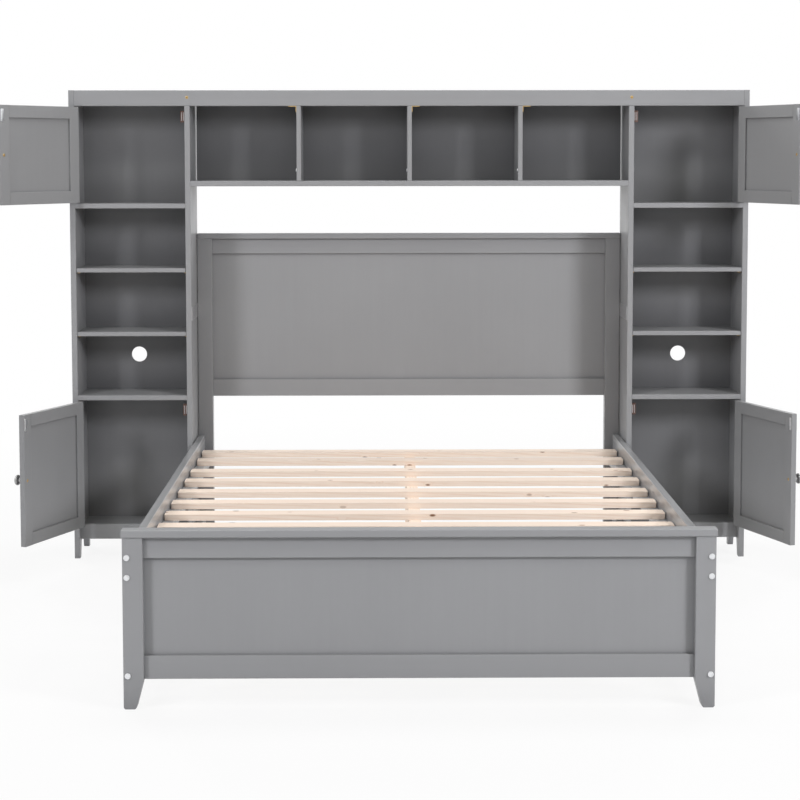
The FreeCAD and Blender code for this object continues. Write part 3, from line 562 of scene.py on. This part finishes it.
def moulded_plastic(name, dark, light):
    finish, tree, shader = new_finish(name, Specular_IOR_Level=0.5)
    grains = noise_node(tree, object_place(tree), PLASTIC_GRAINS, detail=2.0)
    link(tree, mix_colors(tree, grains, dark, light), shader.inputs["Base Color"])
    link(tree, ramp(tree, grains, 0.2, 0.8, 0.38, 0.55), shader.inputs["Roughness"])
    bump(tree, shader, grains, PLASTIC_RELIEF)
    return finish


zinc = metal("bright_zinc", (0.86, 0.87, 0.89, 1), 0.28, 0.42)
nickel = metal("satin_nickel", (0.42, 0.42, 0.42, 1), 0.24, 0.34, NICKEL_SPOTS)
brass = metal("yellow_brass", (0.66, 0.46, 0.20, 1), 0.35, 0.50)
dull_steel = metal("dull_steel", (0.60, 0.60, 0.61, 1), 0.42, 0.55)
plastic = moulded_plastic("brown_plastic", DARK_BROWN, MID_BROWN)
print("metals", zinc.name, nickel.name, brass.name, dull_steel.name, "and", plastic.name)

# %% [markdown]
# ### Dress the boards
# A board's grain runs the long way, so its node's box says which lacquer it takes. A tower
# back or a panel is sheet stock whose face runs upright. Nodes that hold boards from both
# towers have a box that says nothing of one board, so those are named. The pieces under the
# slats stay bare.

# %% Give the CAD boards their finish
UPRIGHT_PIECES = ("_back", "_panel", "_frame")
PAIRED_BOARDS = ("cupboard_floors", "tower_aprons", "adjustable_shelves", "tower_top_boards")

slots = {row["node"]: row["material_slot"] for row in frame["record"]["subparts"]}


def grain_axis(name):
    low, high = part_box(name)
    size = high - low
    if name.endswith(UPRIGHT_PIECES) or name == "bridge_dividers":
        return "z"
    if name in PAIRED_BOARDS:
        return "x"
    return "xyz"[max(range(3), key=lambda axis: size[axis])]


def finish_for(name):
    """The finish of a CAD node. One that a new piece replaces isn't seen, whatever it takes."""
    # The backs and the doors take the darker copies of the lacquer, which are painted shade.
    if name.endswith("_back"):
        return bridge_back if name == "bridge_back" else shaded_back_lacquer
    if name.startswith("door") and name.endswith(("_frame", "_panel")):
        return shaded_door_lacquer
    if name.startswith("side_rail") or name == "tower_aprons":
        return even_lacquers[grain_axis(name)]
    if slots[name] == "painted_wood":
        return lacquers[grain_axis(name)]
    if slots[name] == "bare_pine":
        return pines["z" if name == "centre_legs" else grain_axis(name)]
    return dull_steel if name == "headboard_link_plates" else zinc


for name, node in frame["nodes"].items():
    node.data.materials.clear()
    node.data.materials.append(finish_for(name))
dressed = [finish_for(name).name for name in frame["nodes"]]
print({finish: dressed.count(finish) for finish in sorted(set(dressed))})

# %% [markdown]
# ## Making a piece
# Each new piece is built as a bmesh in its final place, so its object needs no transform. One
# helper merges what coincides, turns all faces outwards, rounds the shading except over hard
# edges, ties the piece to the body that carries it and hides the node that it stands for.

# %% Finish a bmesh as a piece
HARD_EDGE = math.radians(32)
MERGE_DISTANCE = 0.005 * MM
CORNER_SEGMENTS = 5
ALONG_AXIS = 0.99


def make_piece(name, bm, finish, body, stands_for):
    bmesh.ops.remove_doubles(bm, verts=bm.verts, dist=MERGE_DISTANCE)
    bmesh.ops.recalc_face_normals(bm, faces=bm.faces)
    for face in bm.faces:
        face.smooth = True
    for edge in bm.edges:
        edge.smooth = len(edge.link_faces) == 2 and edge.calc_face_angle() < HARD_EDGE
    mesh = bpy.data.meshes.new(name)
    bm.to_mesh(mesh)
    bm.free()
    mesh.materials.append(finish)
    piece = bpy.data.objects.new(name, mesh)
    bpy.context.scene.collection.objects.link(piece)
    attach(piece, body)
    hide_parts(stands_for)
    triangles = sum(len(polygon.vertices) - 2 for polygon in mesh.polygons)
    print(name, "on", body, triangles, "triangles")
    return piece


def once(items):
    """Drops repeats but keeps the order, which a set would not."""
    return list(dict.fromkeys(items))


def faces_of(verts):
    return once(face for vert in verts for face in vert.link_faces)


def edges_of(faces):
    return once(edge for face in faces for edge in face.edges)


def bevelled(bm, edges, faces, width, segments):
    """Rounds some edges of a form and gives the faces that the form then has."""
    new_faces = bmesh.ops.bevel(bm, geom=edges, offset=width, segments=segments, affect="EDGES",
                                profile=0.5, material=-1)["faces"]
    return once([face for face in faces if face.is_valid] + new_faces)


def rounded_box(bm, low, high, radius, segments=3, corner_radius=0.0, corner_axis=2):
    """A box from a cube whose four edges along one axis may be rounded more than the rest."""
    low, high = Vector(low), Vector(high)
    cube = bmesh.ops.create_cube(bm, size=1.0)["verts"]
    bmesh.ops.scale(bm, verts=cube, vec=high - low)
    bmesh.ops.translate(bm, verts=cube, vec=(low + high) / 2)
    faces = faces_of(cube)
    if corner_radius:
        edges = [edge for edge in edges_of(faces)
                 if abs((edge.verts[0].co - edge.verts[1].co).normalized()[corner_axis]) > ALONG_AXIS]
        faces = bevelled(bm, edges, faces, corner_radius, CORNER_SEGMENTS)
    edges = [edge for edge in edges_of(faces) if edge.calc_face_angle(0) > HARD_EDGE]
    bevelled(bm, edges, faces, radius, segments)


def set_down(bm, verts, location, direction):
    """Moves corners made at the origin, facing +Z, to where they belong."""
    bmesh.ops.transform(bm, matrix=facing_place(location, direction), verts=verts)


def turned(bm, profile, steps):
    """A lathe: spins (radius, height) points about Z and gives the new corners."""
    before = set(bm.verts)
    line = [bm.verts.new((radius, 0, height)) for radius, height in profile]
    edges = [bm.edges.new(pair) for pair in zip(line, line[1:])]
    bmesh.ops.spin(bm, geom=line + edges, cent=(0, 0, 0), axis=(0, 0, 1), angle=2 * math.pi,
                   steps=steps, use_merge=True, use_duplicate=False)
    return [vert for vert in bm.verts if vert not in before]


print("helpers ready")

# %% [markdown]
# ## The slats
# Each slat is a length of planed pine with rounded corners. A real one is never quite straight,
# so after rounding the box is cut into short lengths and each slat gets its own slight crown,
# bow and twist, well under the space that it has. The random numbers are seeded: every run is
# alike.

# %% Slats
SLAT_CORNER = 3 * MM
SLAT_ARRIS = 2 * MM
SLAT_BOW = 0.8 * MM
SLAT_CROWN_SHARE = 0.5
SLAT_TWIST = math.radians(0.35)
SLAT_LENGTHS = 24
BOARD_STEP = 3.7

chance = random.Random(7)


def bow_and_twist(verts, span):
    """Raises and bows the middle of a slat, and turns its two ends against each other."""
    crown, sway = (chance.uniform(-SLAT_BOW, SLAT_BOW) for _ in range(2))
    twist = chance.uniform(-SLAT_TWIST, SLAT_TWIST)
    half = span.size.x / 2
    for vert in verts:
        share = (vert.co.x - span.middle.x) / half
        offset = Matrix.Rotation(twist * share, 3, "X") @ (vert.co - span.middle)
        bow = 1 - share * share
        vert.co = span.middle + offset + Vector((0, sway * bow, abs(crown) * bow * SLAT_CROWN_SHARE))


for number, span in enumerate(slat_spans, 1):
    bm = bmesh.new()
    rounded_box(bm, span.low, span.high, SLAT_ARRIS, corner_radius=SLAT_CORNER)
    for index in range(1, SLAT_LENGTHS):
        cut_x = span.low.x + span.size.x * index / SLAT_LENGTHS
        bmesh.ops.bisect_plane(bm, geom=bm.verts[:] + bm.edges[:] + bm.faces[:], plane_co=(cut_x, 0, 0),
                               plane_no=(1, 0, 0), clear_inner=False, clear_outer=False)
    bow_and_twist(bm.verts, span)
    slat = make_piece("slat_%02d" % number, bm, pines["x"], ROOT, "slats")
    board_number = slat.data.attributes.new("board_number", "FLOAT", "POINT")
    board_number.data.foreach_set("value", [number * BOARD_STEP] * len(slat.data.vertices))

# %% [markdown]
# ## Screws and bolts
# A cross-head screw shows a low dome with a cross-shaped recess. The cross is a small grid
# without its corners, sunk and drawn in; a ring of edges is bridged to its outline, and the
# ring is then extruded down over the rim. The bed bolts have a hexagon socket instead. Both
# heads grow their rims the same way, so that is one helper. Pairs of shares give a rim: how
# far out, of the head's radius, and how far down, of its height.

# %% A cross-head screw
ARM_SHARE = 0.52
HALF_WIDTH_SHARE = 0.13
RING_SHARE = 0.72
DOME_SHARES = ((0.92, 0.22), (1.0, 0.6), (1.0, 1.0))
RECESS_TAPER_SHARE = 0.7
RECESS_DEPTH_SHARE = 0.55
SCREW_STEPS = 20
SCREW_HEAD_HEIGHT = 0.9 * MM
SHANK_RADIUS = 2 * MM
SHANK_STEPS = 12
FASCIA_SHANK, FASCIA_POINT = 32 * MM, 4 * MM


def verts_in(items):
    return [item for item in items if isinstance(item, bmesh.types.BMVert)]


def grown(bm, edges):
    """Extrudes edges and gives the new corners and the new edges that join them."""
    items = bmesh.ops.extrude_edge_only(bm, edges=edges)["geom"]
    verts = verts_in(items)
    far_edges = [item for item in items if isinstance(item, bmesh.types.BMEdge)
                 and all(vert in verts for vert in item.verts)]
    return verts, far_edges


def grow_rim(bm, edges, rings):
    """Grows a ring of edges over a rim, one step for each (radius, height)."""
    for radius, height in rings:
        verts, edges = grown(bm, edges)
        for vert in verts:
            flat = Vector((vert.co.x, vert.co.y, 0)).normalized() * radius
            vert.co = (flat.x, flat.y, height)
    return edges


def circle_edges(bm, steps, radius):
    circle = bmesh.ops.create_circle(bm, segments=steps, radius=radius, cap_ends=False)["verts"]
    return once(edge for vert in circle for edge in vert.link_edges)


def cross_head(bm, radius, height):
    """A screw head on the plane Z = 0, facing +Z."""
    before = set(bm.verts)
    arm, half_width = radius * ARM_SHARE, radius * HALF_WIDTH_SHARE
    grid = bmesh.ops.create_grid(bm, x_segments=3, y_segments=3, size=arm)["verts"]
    for vert in grid:
        for axis in (0, 1):
            if abs(vert.co[axis]) < arm / 2:
                vert.co[axis] = math.copysign(half_width, vert.co[axis])
    faces = faces_of(grid)
    corners = [face for face in faces if min(abs(c) for c in face.calc_center_median().xy) > half_width]
    bmesh.ops.delete(bm, geom=corners, context="FACES")
    cross = [face for face in faces if face.is_valid]
    loose = [vert for vert in grid if vert.is_valid and not vert.link_faces]
    bmesh.ops.delete(bm, geom=loose, context="VERTS")
    outline = [edge for edge in edges_of(cross) if len(edge.link_faces) == 1]
    ring_edges = circle_edges(bm, SCREW_STEPS, radius * RING_SHARE)
    bmesh.ops.bridge_loops(bm, edges=outline + ring_edges)
    ring_edges = grow_rim(bm, ring_edges, [(radius * out, -height * down) for out, down in DOME_SHARES])
    bmesh.ops.holes_fill(bm, edges=ring_edges, sides=0)
    recess = verts_in(bmesh.ops.extrude_face_region(bm, geom=cross)["geom"])
    bmesh.ops.delete(bm, geom=[face for face in cross if face.is_valid], context="FACES_ONLY")
    bmesh.ops.scale(bm, verts=recess, vec=(RECESS_TAPER_SHARE, RECESS_TAPER_SHARE, 1))
    bmesh.ops.translate(bm, verts=recess, vec=(0, 0, -height * RECESS_DEPTH_SHARE))
    verts = [vert for vert in bm.verts if vert not in before]
    bmesh.ops.translate(bm, verts=verts, vec=(0, 0, height))
    return verts


def add_screw(bm, location, direction, radius, height):
    set_down(bm, cross_head(bm, radius, height), location, direction)


def add_shank(bm, location, direction, length, point):
    """A screw's shank, which ends in a point."""
    shank = turned(bm, [(0, 0), (SHANK_RADIUS, 0), (SHANK_RADIUS, length - point), (0, length)], SHANK_STEPS)
    set_down(bm, shank, location, direction)


fascia_bm = bmesh.new()
for span in solids_of("fascia_screws"):
    seat = Vector((span.middle.x, span.low.y + SCREW_HEAD_HEIGHT, span.middle.z))
    add_screw(fascia_bm, seat, (0, -1, 0), span.size.x / 2, SCREW_HEAD_HEIGHT)
    add_shank(fascia_bm, seat, (0, 1, 0), FASCIA_SHANK, FASCIA_POINT)
make_piece("fascia_cross_screws", fascia_bm, brass, ROOT, "fascia_screws")

# %% Bed bolts with hexagon sockets
BOLT_HEAD_HEIGHT = 3.0 * MM
BOLT_SHANK_RADIUS = 3.0 * MM
BOLT_STEPS = 30
SOCKET_SHARE, BOLT_RING_SHARE = 0.40, 0.80
SOCKET_DEPTH_SHARE = 0.62
BOLT_RIM_SHARES = ((0.93, 0.10), (1.0, 0.35), (1.0, 1.0))


def socket_bolt(bm, radius, length):
    """A low round head on the plane Z = 0 that faces +Z, with its shank below."""
    before = set(bm.verts)
    hexagon_edges = circle_edges(bm, 6, radius * SOCKET_SHARE)
    ring_edges = circle_edges(bm, BOLT_STEPS, radius * BOLT_RING_SHARE)
    bmesh.ops.bridge_loops(bm, edges=hexagon_edges + ring_edges)
    socket_verts, socket_floor = grown(bm, hexagon_edges)
    bmesh.ops.translate(bm, verts=socket_verts, vec=(0, 0, -BOLT_HEAD_HEIGHT * SOCKET_DEPTH_SHARE))
    bmesh.ops.holes_fill(bm, edges=socket_floor, sides=0)
    rim = [(radius * out, -BOLT_HEAD_HEIGHT * down) for out, down in BOLT_RIM_SHARES]
    ring_edges = grow_rim(bm, ring_edges, rim + [(BOLT_SHANK_RADIUS, -BOLT_HEAD_HEIGHT)])
    end_verts, end_edges = grown(bm, ring_edges)
    bmesh.ops.translate(bm, verts=end_verts, vec=(0, 0, BOLT_HEAD_HEIGHT - length))
    bmesh.ops.holes_fill(bm, edges=end_edges, sides=0)
    verts = [vert for vert in bm.verts if vert not in before]
    bmesh.ops.translate(bm, verts=verts, vec=(0, 0, BOLT_HEAD_HEIGHT))
    return verts


bolt_bm = bmesh.new()
for span in solids_of("bed_bolts"):
    outward = -1 if span.middle.y < 0 else 1
    face_y = span.low.y if outward < 0 else span.high.y
    seat = Vector((span.middle.x, face_y - outward * BOLT_HEAD_HEIGHT, span.middle.z))
    set_down(bolt_bm, socket_bolt(bolt_bm, span.size.x / 2, span.size.y), seat, (0, outward, 0))
make_piece("leg_bolts", bolt_bm, zinc, ROOT, "bed_bolts")

# %% [markdown]
# ## Doors, open as in the photograph
# Each joint says how far its door stands open, because zero travel is the pose of the
# photograph and the low limit is the closed door. The fittings are measured on the door
# turned back, built square to it, and swung out again.

# %% Where each door is
doors = {}
for joint in frame["joints"]:
    hinge = Vector(joint["pos_m"])
    opening = math.radians(-joint["range_deg"][0]) * joint["axis"][2]
    swing = Matrix.Translation(hinge) @ Matrix.Rotation(opening, 4, "Z") @ Matrix.Translation(-hinge)
    doors[joint["child"]] = {"hinge": hinge, "swing": swing, "side": 1 if joint["axis"][2] > 0 else -1}
for name, door in doors.items():
    door["fittings"] = solids_of(name + "_fittings", door["swing"].inverted())
    print(name, "open", round(math.degrees(door["swing"].to_euler().z), 1), "degrees",
          [tuple(round(c / MM, 1) for c in span.size) for span in door["fittings"]])

# %% [markdown]
# ## Knobs
# A turned knob: a small foot, a waist, and a full round head like a mushroom's. A lathe is the
# real tool for it, and spin is the same thing in Blender.

# %% Turned knobs
KNOB_PROFILE = [(0, 0), (8.2, 0), (9.0, 0.5), (9.0, 1.7), (8.2, 2.5), (7.0, 3.2), (6.5, 4.4), (6.5, 6.0),
                (6.6, 8.2), (7.8, 10.2), (10.6, 12.2), (14.0, 14.2), (16.2, 16.2), (17.0, 18.2), (16.8, 19.9),
                (15.7, 21.5), (13.6, 22.9), (10.8, 24.0), (7.4, 24.7), (3.6, 24.94), (0, 25.0)]
KNOB_STEPS = 40

for name, door in doors.items():
    span = solids_of(name + "_knob", door["swing"].inverted())[0]
    foot = Vector((span.middle.x, span.high.y, span.middle.z))
    knob_bm = bmesh.new()
    turned(knob_bm, [(radius * MM, height * MM) for radius, height in KNOB_PROFILE], KNOB_STEPS)
    knob_bm.transform(door["swing"] @ facing_place(foot, (0, -1, 0)))
    make_piece(name + "_pull", knob_bm, nickel, name, name + "_knob")

# %% [markdown]
# ## Strike plates, hinge leaves and the knob's screw
# The strike plate is a bright strip with rounded corners that meets the magnet. The hinges are
# plain butt hinges: two leaves, knuckles that alternate, and a pin through them. A door's
# fittings are told apart by size: the leaves are the longest and the screw is the deepest. A
# pair that is named for a screw gives its head's radius and height.

# %% Door fittings
LONGEST_PLATE = 45 * MM
THICKEST_PLATE = 10 * MM
KNUCKLE_COUNT = 5
KNUCKLE_RADIUS = 3.0 * MM
KNUCKLE_GAP = 0.15 * MM
KNUCKLE_ROUND = 0.25 * MM
HINGE_STEPS = 20
PIN_RADIUS = 1.5 * MM
PIN_PLAY = 0.1 * MM
LEAF_THICKNESS = 1.0 * MM
LEAF_FACE = 1.2 * MM
LEAF_GAP = 0.3 * MM
LEAF_ROUND, WEB_ROUND = 0.2 * MM, 0.1 * MM
LEAF_SCREW, LEAF_SCREW_SINK = (2.9 * MM, 0.35 * MM), 0.25 * MM
LEAF_SCREW_SHARES = (0.18, 0.82)
PLATE_SCREW, PLATE_SCREW_SINK = (2.6 * MM, 0.4 * MM), 0.2 * MM
PLATE_SCREW_SHARES = (0.2, 0.8)
PLATE_CORNER, PLATE_ROUND = 3 * MM, 0.25 * MM
KNOB_SHANK, KNOB_POINT = 28 * MM, 2 * MM


def knuckle(bm, hinge, low_z, high_z):
    inner, height = PIN_RADIUS + PIN_PLAY, high_z - low_z
    full, rounded = KNUCKLE_RADIUS, KNUCKLE_RADIUS - KNUCKLE_ROUND
    profile = [(inner, 0), (rounded, 0), (full, KNUCKLE_ROUND), (full, height - KNUCKLE_ROUND),
               (rounded, height), (inner, height), (inner, 0)]
    ring = turned(bm, profile, HINGE_STEPS)
    bmesh.ops.translate(bm, verts=ring, vec=(hinge.x, hinge.y, low_z))


def hinge_half(bm, span, hinge, plate_x, face_direction, indices):
    """A leaf with its knuckles. plate_x is the leaf's range along X."""
    low_x, high_x = min(plate_x), max(plate_x)
    leaf_low_y = hinge.y + KNUCKLE_RADIUS + LEAF_GAP
    rounded_box(bm, (low_x, leaf_low_y, span.low.z), (high_x, span.high.y, span.high.z), LEAF_ROUND, 2)
    pitch = span.size.z / KNUCKLE_COUNT
    for index in indices:
        low_z = span.low.z + index * pitch + KNUCKLE_GAP
        high_z = low_z + pitch - 2 * KNUCKLE_GAP
        knuckle(bm, hinge, low_z, high_z)
        rounded_box(bm, (low_x, hinge.y + PIN_RADIUS, low_z), (high_x, leaf_low_y + LEAF_GAP, high_z),
                    WEB_ROUND, 1)
    screw_x = (high_x if face_direction > 0 else low_x) - face_direction * LEAF_SCREW_SINK
    screw_y = (leaf_low_y + span.high.y) / 2
    for share in LEAF_SCREW_SHARES:
        add_screw(bm, (screw_x, screw_y, span.low.z + share * span.size.z), (face_direction, 0, 0),
                  *LEAF_SCREW)


def knob_screw(bm, span):
    seat = Vector((span.middle.x, span.high.y - SCREW_HEAD_HEIGHT, span.middle.z))
    add_screw(bm, seat, (0, 1, 0), span.size.x / 2, SCREW_HEAD_HEIGHT)
    add_shank(bm, seat, (0, -1, 0), KNOB_SHANK, KNOB_POINT)


def strike_plate(bm, span):
    rounded_box(bm, span.low, span.high, PLATE_ROUND, 2, corner_radius=PLATE_CORNER, corner_axis=1)
    for share in PLATE_SCREW_SHARES:
        seat = (span.middle.x, span.high.y - PLATE_SCREW_SINK, span.low.z + share * span.size.z)
        add_screw(bm, seat, (0, 1, 0), *PLATE_SCREW)


for name, door in doors.items():
    side, hinge = door["side"], door["hinge"]
    leaves_bm, plate_bm, screw_bm = bmesh.new(), bmesh.new(), bmesh.new()
    for span in door["fittings"]:
        if span.size.z > LONGEST_PLATE:
            door_edge = hinge.x - side * LEAF_FACE
            hinge_half(leaves_bm, span, hinge, (door_edge, door_edge + side * LEAF_THICKNESS), side,
                       range(1, KNUCKLE_COUNT, 2))
        elif span.size.y > THICKEST_PLATE:
            knob_screw(screw_bm, span)
        else:
            strike_plate(plate_bm, span)
    for kind, bm, finish, slot_name in (("_hinge_leaves", leaves_bm, zinc, "zinc_steel"),
                                        ("_strike_plate", plate_bm, zinc, "zinc_steel"),
                                        ("_knob_screw", screw_bm, brass, "brass")):
        bm.transform(door["swing"])
        make_piece(name + kind, bm, finish, name, name + "_fittings")

# %% [markdown]
# The other leaf of each hinge and its pin stay on the tower. The pin ends flush with the
# knuckles, so it shows as a small disc in the end of the barrel.

# %% Leaves and pins on the towers
PIN_END = 0.4 * MM

fixed_bm, pins_bm = bmesh.new(), bmesh.new()
for span in solids_of("hinge_fixed_leaves"):
    side = 1 if span.middle.x > 0 else -1
    hinge = next(door["hinge"] for door in doors.values() if door["side"] == side)
    panel_face = hinge.x + side * LEAF_FACE
    hinge_half(fixed_bm, span, hinge, (panel_face - side * LEAF_THICKNESS, panel_face), -side,
               range(0, KNUCKLE_COUNT, 2))
    length, end_radius = span.size.z, PIN_RADIUS - PIN_END
    pin = turned(pins_bm, [(0, 0), (end_radius, 0), (PIN_RADIUS, PIN_END), (PIN_RADIUS, length - PIN_END),
                           (end_radius, length), (0, length)], HINGE_STEPS)
    bmesh.ops.translate(pins_bm, verts=pin, vec=(hinge.x, hinge.y, span.low.z))
make_piece("tower_hinge_leaves", fixed_bm, zinc, ROOT, "hinge_fixed_leaves")
make_piece("tower_hinge_pins", pins_bm, zinc, ROOT, "hinge_fixed_leaves")

# %% [markdown]
# ## Catches
# A magnetic catch is a small brown housing on the side panel. Two thin steel plates stand
# proud at its front with the magnet between them, and two screws in its side hold it.

# %% Magnetic catches
POLE_PLATE = 1.2 * MM
POLE_PROUD = 0.2 * MM
POLE_SET_BACK = 3 * MM
POLE_ROUND = 0.2 * MM
POLE_PLACE_SHARES = (0.30, 0.70)
POLE_END_SHARE = 0.15
HOUSING_EDGE = 1.0 * MM
CATCH_SCREW, CATCH_SCREW_SINK = (2.6 * MM, 1.0 * MM), 0.6 * MM
CATCH_SCREW_BACK = 1.5 * MM
CATCH_SCREW_SHARES = (0.2, 0.8)

catch_bm, pole_bm = bmesh.new(), bmesh.new()
for span in solids_of("magnetic_catches"):
    side = 1 if span.middle.x > 0 else -1
    panel_x = span.low.x if side > 0 else span.high.x
    front = (span.low.x, span.low.y + POLE_PROUD, span.low.z)
    rounded_box(catch_bm, front, span.high, HOUSING_EDGE, 3)
    end_margin = POLE_END_SHARE * span.size.z
    for share in POLE_PLACE_SHARES:
        pole_x = panel_x + side * share * span.size.x
        rounded_box(pole_bm, (pole_x - POLE_PLATE / 2, span.low.y, span.low.z + end_margin),
                    (pole_x + POLE_PLATE / 2, span.high.y - POLE_SET_BACK, span.high.z - end_margin),
                    POLE_ROUND, 1)
    screw_x = panel_x + side * (span.size.x - CATCH_SCREW_SINK)
    for share in CATCH_SCREW_SHARES:
        seat = (screw_x, span.middle.y + CATCH_SCREW_BACK, span.low.z + share * span.size.z)
        add_screw(pole_bm, seat, (side, 0, 0), *CATCH_SCREW)
make_piece("catch_housings", catch_bm, plastic, ROOT, "magnetic_catches")
make_piece("catch_pole_plates", pole_bm, zinc, ROOT, "magnetic_catches")

# %% [markdown]
# ## Under the shelves and the fascia
# The adjustable shelves lie on plated pins with a collar against the panel. Each divider of
# the bridge hangs from an angle bracket under the fascia and is drawn down by a cam fitting,
# whose round head shows on its left face.

# %% Shelf pins
PIN_COLLAR = 3.6 * MM
COLLAR_FLAT, COLLAR_END = 0.7 * MM, 1.1 * MM
PIN_IN_PANEL = 6 * MM
PIN_TIP = 0.5 * MM
SHELF_PIN_STEPS = 18

shelf_pin_bm = bmesh.new()
outer_face, inner_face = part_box("cupboard_floors")[1].x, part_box("tower_right_inner_side")[1].x
for span in solids_of("shelf_pins"):
    outer = abs(span.middle.x) > (outer_face + inner_face) / 2
    side = 1 if span.middle.x > 0 else -1
    face_x = side * (outer_face if outer else inner_face)
    into_bay = -side if outer else side
    reach = abs((span.low.x if into_bay < 0 else span.high.x) - face_x)
    radius = span.size.z / 2
    profile = [(0, -PIN_IN_PANEL), (radius, -PIN_IN_PANEL), (radius, 0), (PIN_COLLAR, 0),
               (PIN_COLLAR, COLLAR_FLAT), (radius, COLLAR_END), (radius, reach - PIN_TIP),
               (radius - PIN_TIP, reach), (0, reach)]
    pin = turned(shelf_pin_bm, profile, SHELF_PIN_STEPS)
    set_down(shelf_pin_bm, pin, (face_x, span.middle.y, span.middle.z), (into_bay, 0, 0))
make_piece("shelf_support_pins", shelf_pin_bm, brass, ROOT, "shelf_pins")

# %% Divider brackets and cams
WIDEST_CAM = 10 * MM
MIDDLE_DIVIDER = 50 * MM
BRACKET_THICKNESS = 2.0 * MM
BRACKET_SCREW = (2.8 * MM, 0.8 * MM)
TOP_SCREW_OUT = 3 * MM
LEG_SCREW_UP = 7 * MM
AT_THE_CORNER = 0.01 * MM
CAM_SHARES = ((0, 0), (1, 0), (1, 0.45), (0.86, 0.85), (0.55, 1), (0.2, 0.9), (0, 0.7))
CAM_STEPS = 24


def angle_bracket(bm, span):
    """A flat strip whose one end is bent down along the divider, then given its thickness."""
    side = -1 if span.middle.x < -MIDDLE_DIVIDER else 1
    corner_x = span.high.x if side < 0 else span.low.x
    strip = bmesh.ops.create_grid(bm, x_segments=1, y_segments=1, size=0.5)["verts"]
    bmesh.ops.scale(bm, verts=strip, vec=(span.size.x, span.size.y, 1))
    bmesh.ops.translate(bm, verts=strip, vec=(span.middle.x, span.middle.y, span.high.z))
    fold = [edge for edge in edges_of(faces_of(strip))
            if all(abs(vert.co.x - corner_x) < AT_THE_CORNER for vert in edge.verts)]
    leg = verts_in(bmesh.ops.extrude_edge_only(bm, edges=fold)["geom"])
    bmesh.ops.translate(bm, verts=leg, vec=(0, 0, -span.size.z))
    faces = faces_of(strip + leg)
    bmesh.ops.recalc_face_normals(bm, faces=faces)
    if max(faces, key=lambda face: face.calc_center_median().z).normal.z < 0:
        bmesh.ops.reverse_faces(bm, faces=faces)
    bmesh.ops.solidify(bm, geom=faces, thickness=BRACKET_THICKNESS)
    under_top = (span.middle.x + side * TOP_SCREW_OUT, span.middle.y, span.high.z - BRACKET_THICKNESS)
    add_screw(bm, under_top, (0, 0, -1), *BRACKET_SCREW)
    on_leg = (corner_x + side * BRACKET_THICKNESS, span.middle.y, span.low.z + LEG_SCREW_UP)
    add_screw(bm, on_leg, (side, 0, 0), *BRACKET_SCREW)


def cam_head(bm, span):
    radius, proud = span.size.z / 2, span.size.x
    cam = turned(bm, [(radius * out, proud * height) for out, height in CAM_SHARES], CAM_STEPS)
    set_down(bm, cam, (span.high.x, span.middle.y, span.middle.z), (-1, 0, 0))


bracket_bm, cam_bm = bmesh.new(), bmesh.new()
for span in solids_of("bridge_divider_fittings"):
    if span.size.x > WIDEST_CAM:
        angle_bracket(bracket_bm, span)
    else:
        cam_head(cam_bm, span)
make_piece("divider_brackets", bracket_bm, brass, ROOT, "bridge_divider_fittings")
make_piece("divider_cams", cam_bm, zinc, ROOT, "bridge_divider_fittings")

# %% [markdown]
# ## View settings
# The scene's own box must stay within the CAD part's box.

# %% View transform
bpy.context.scene.view_settings.view_transform = "Standard"
bpy.context.view_layer.update()
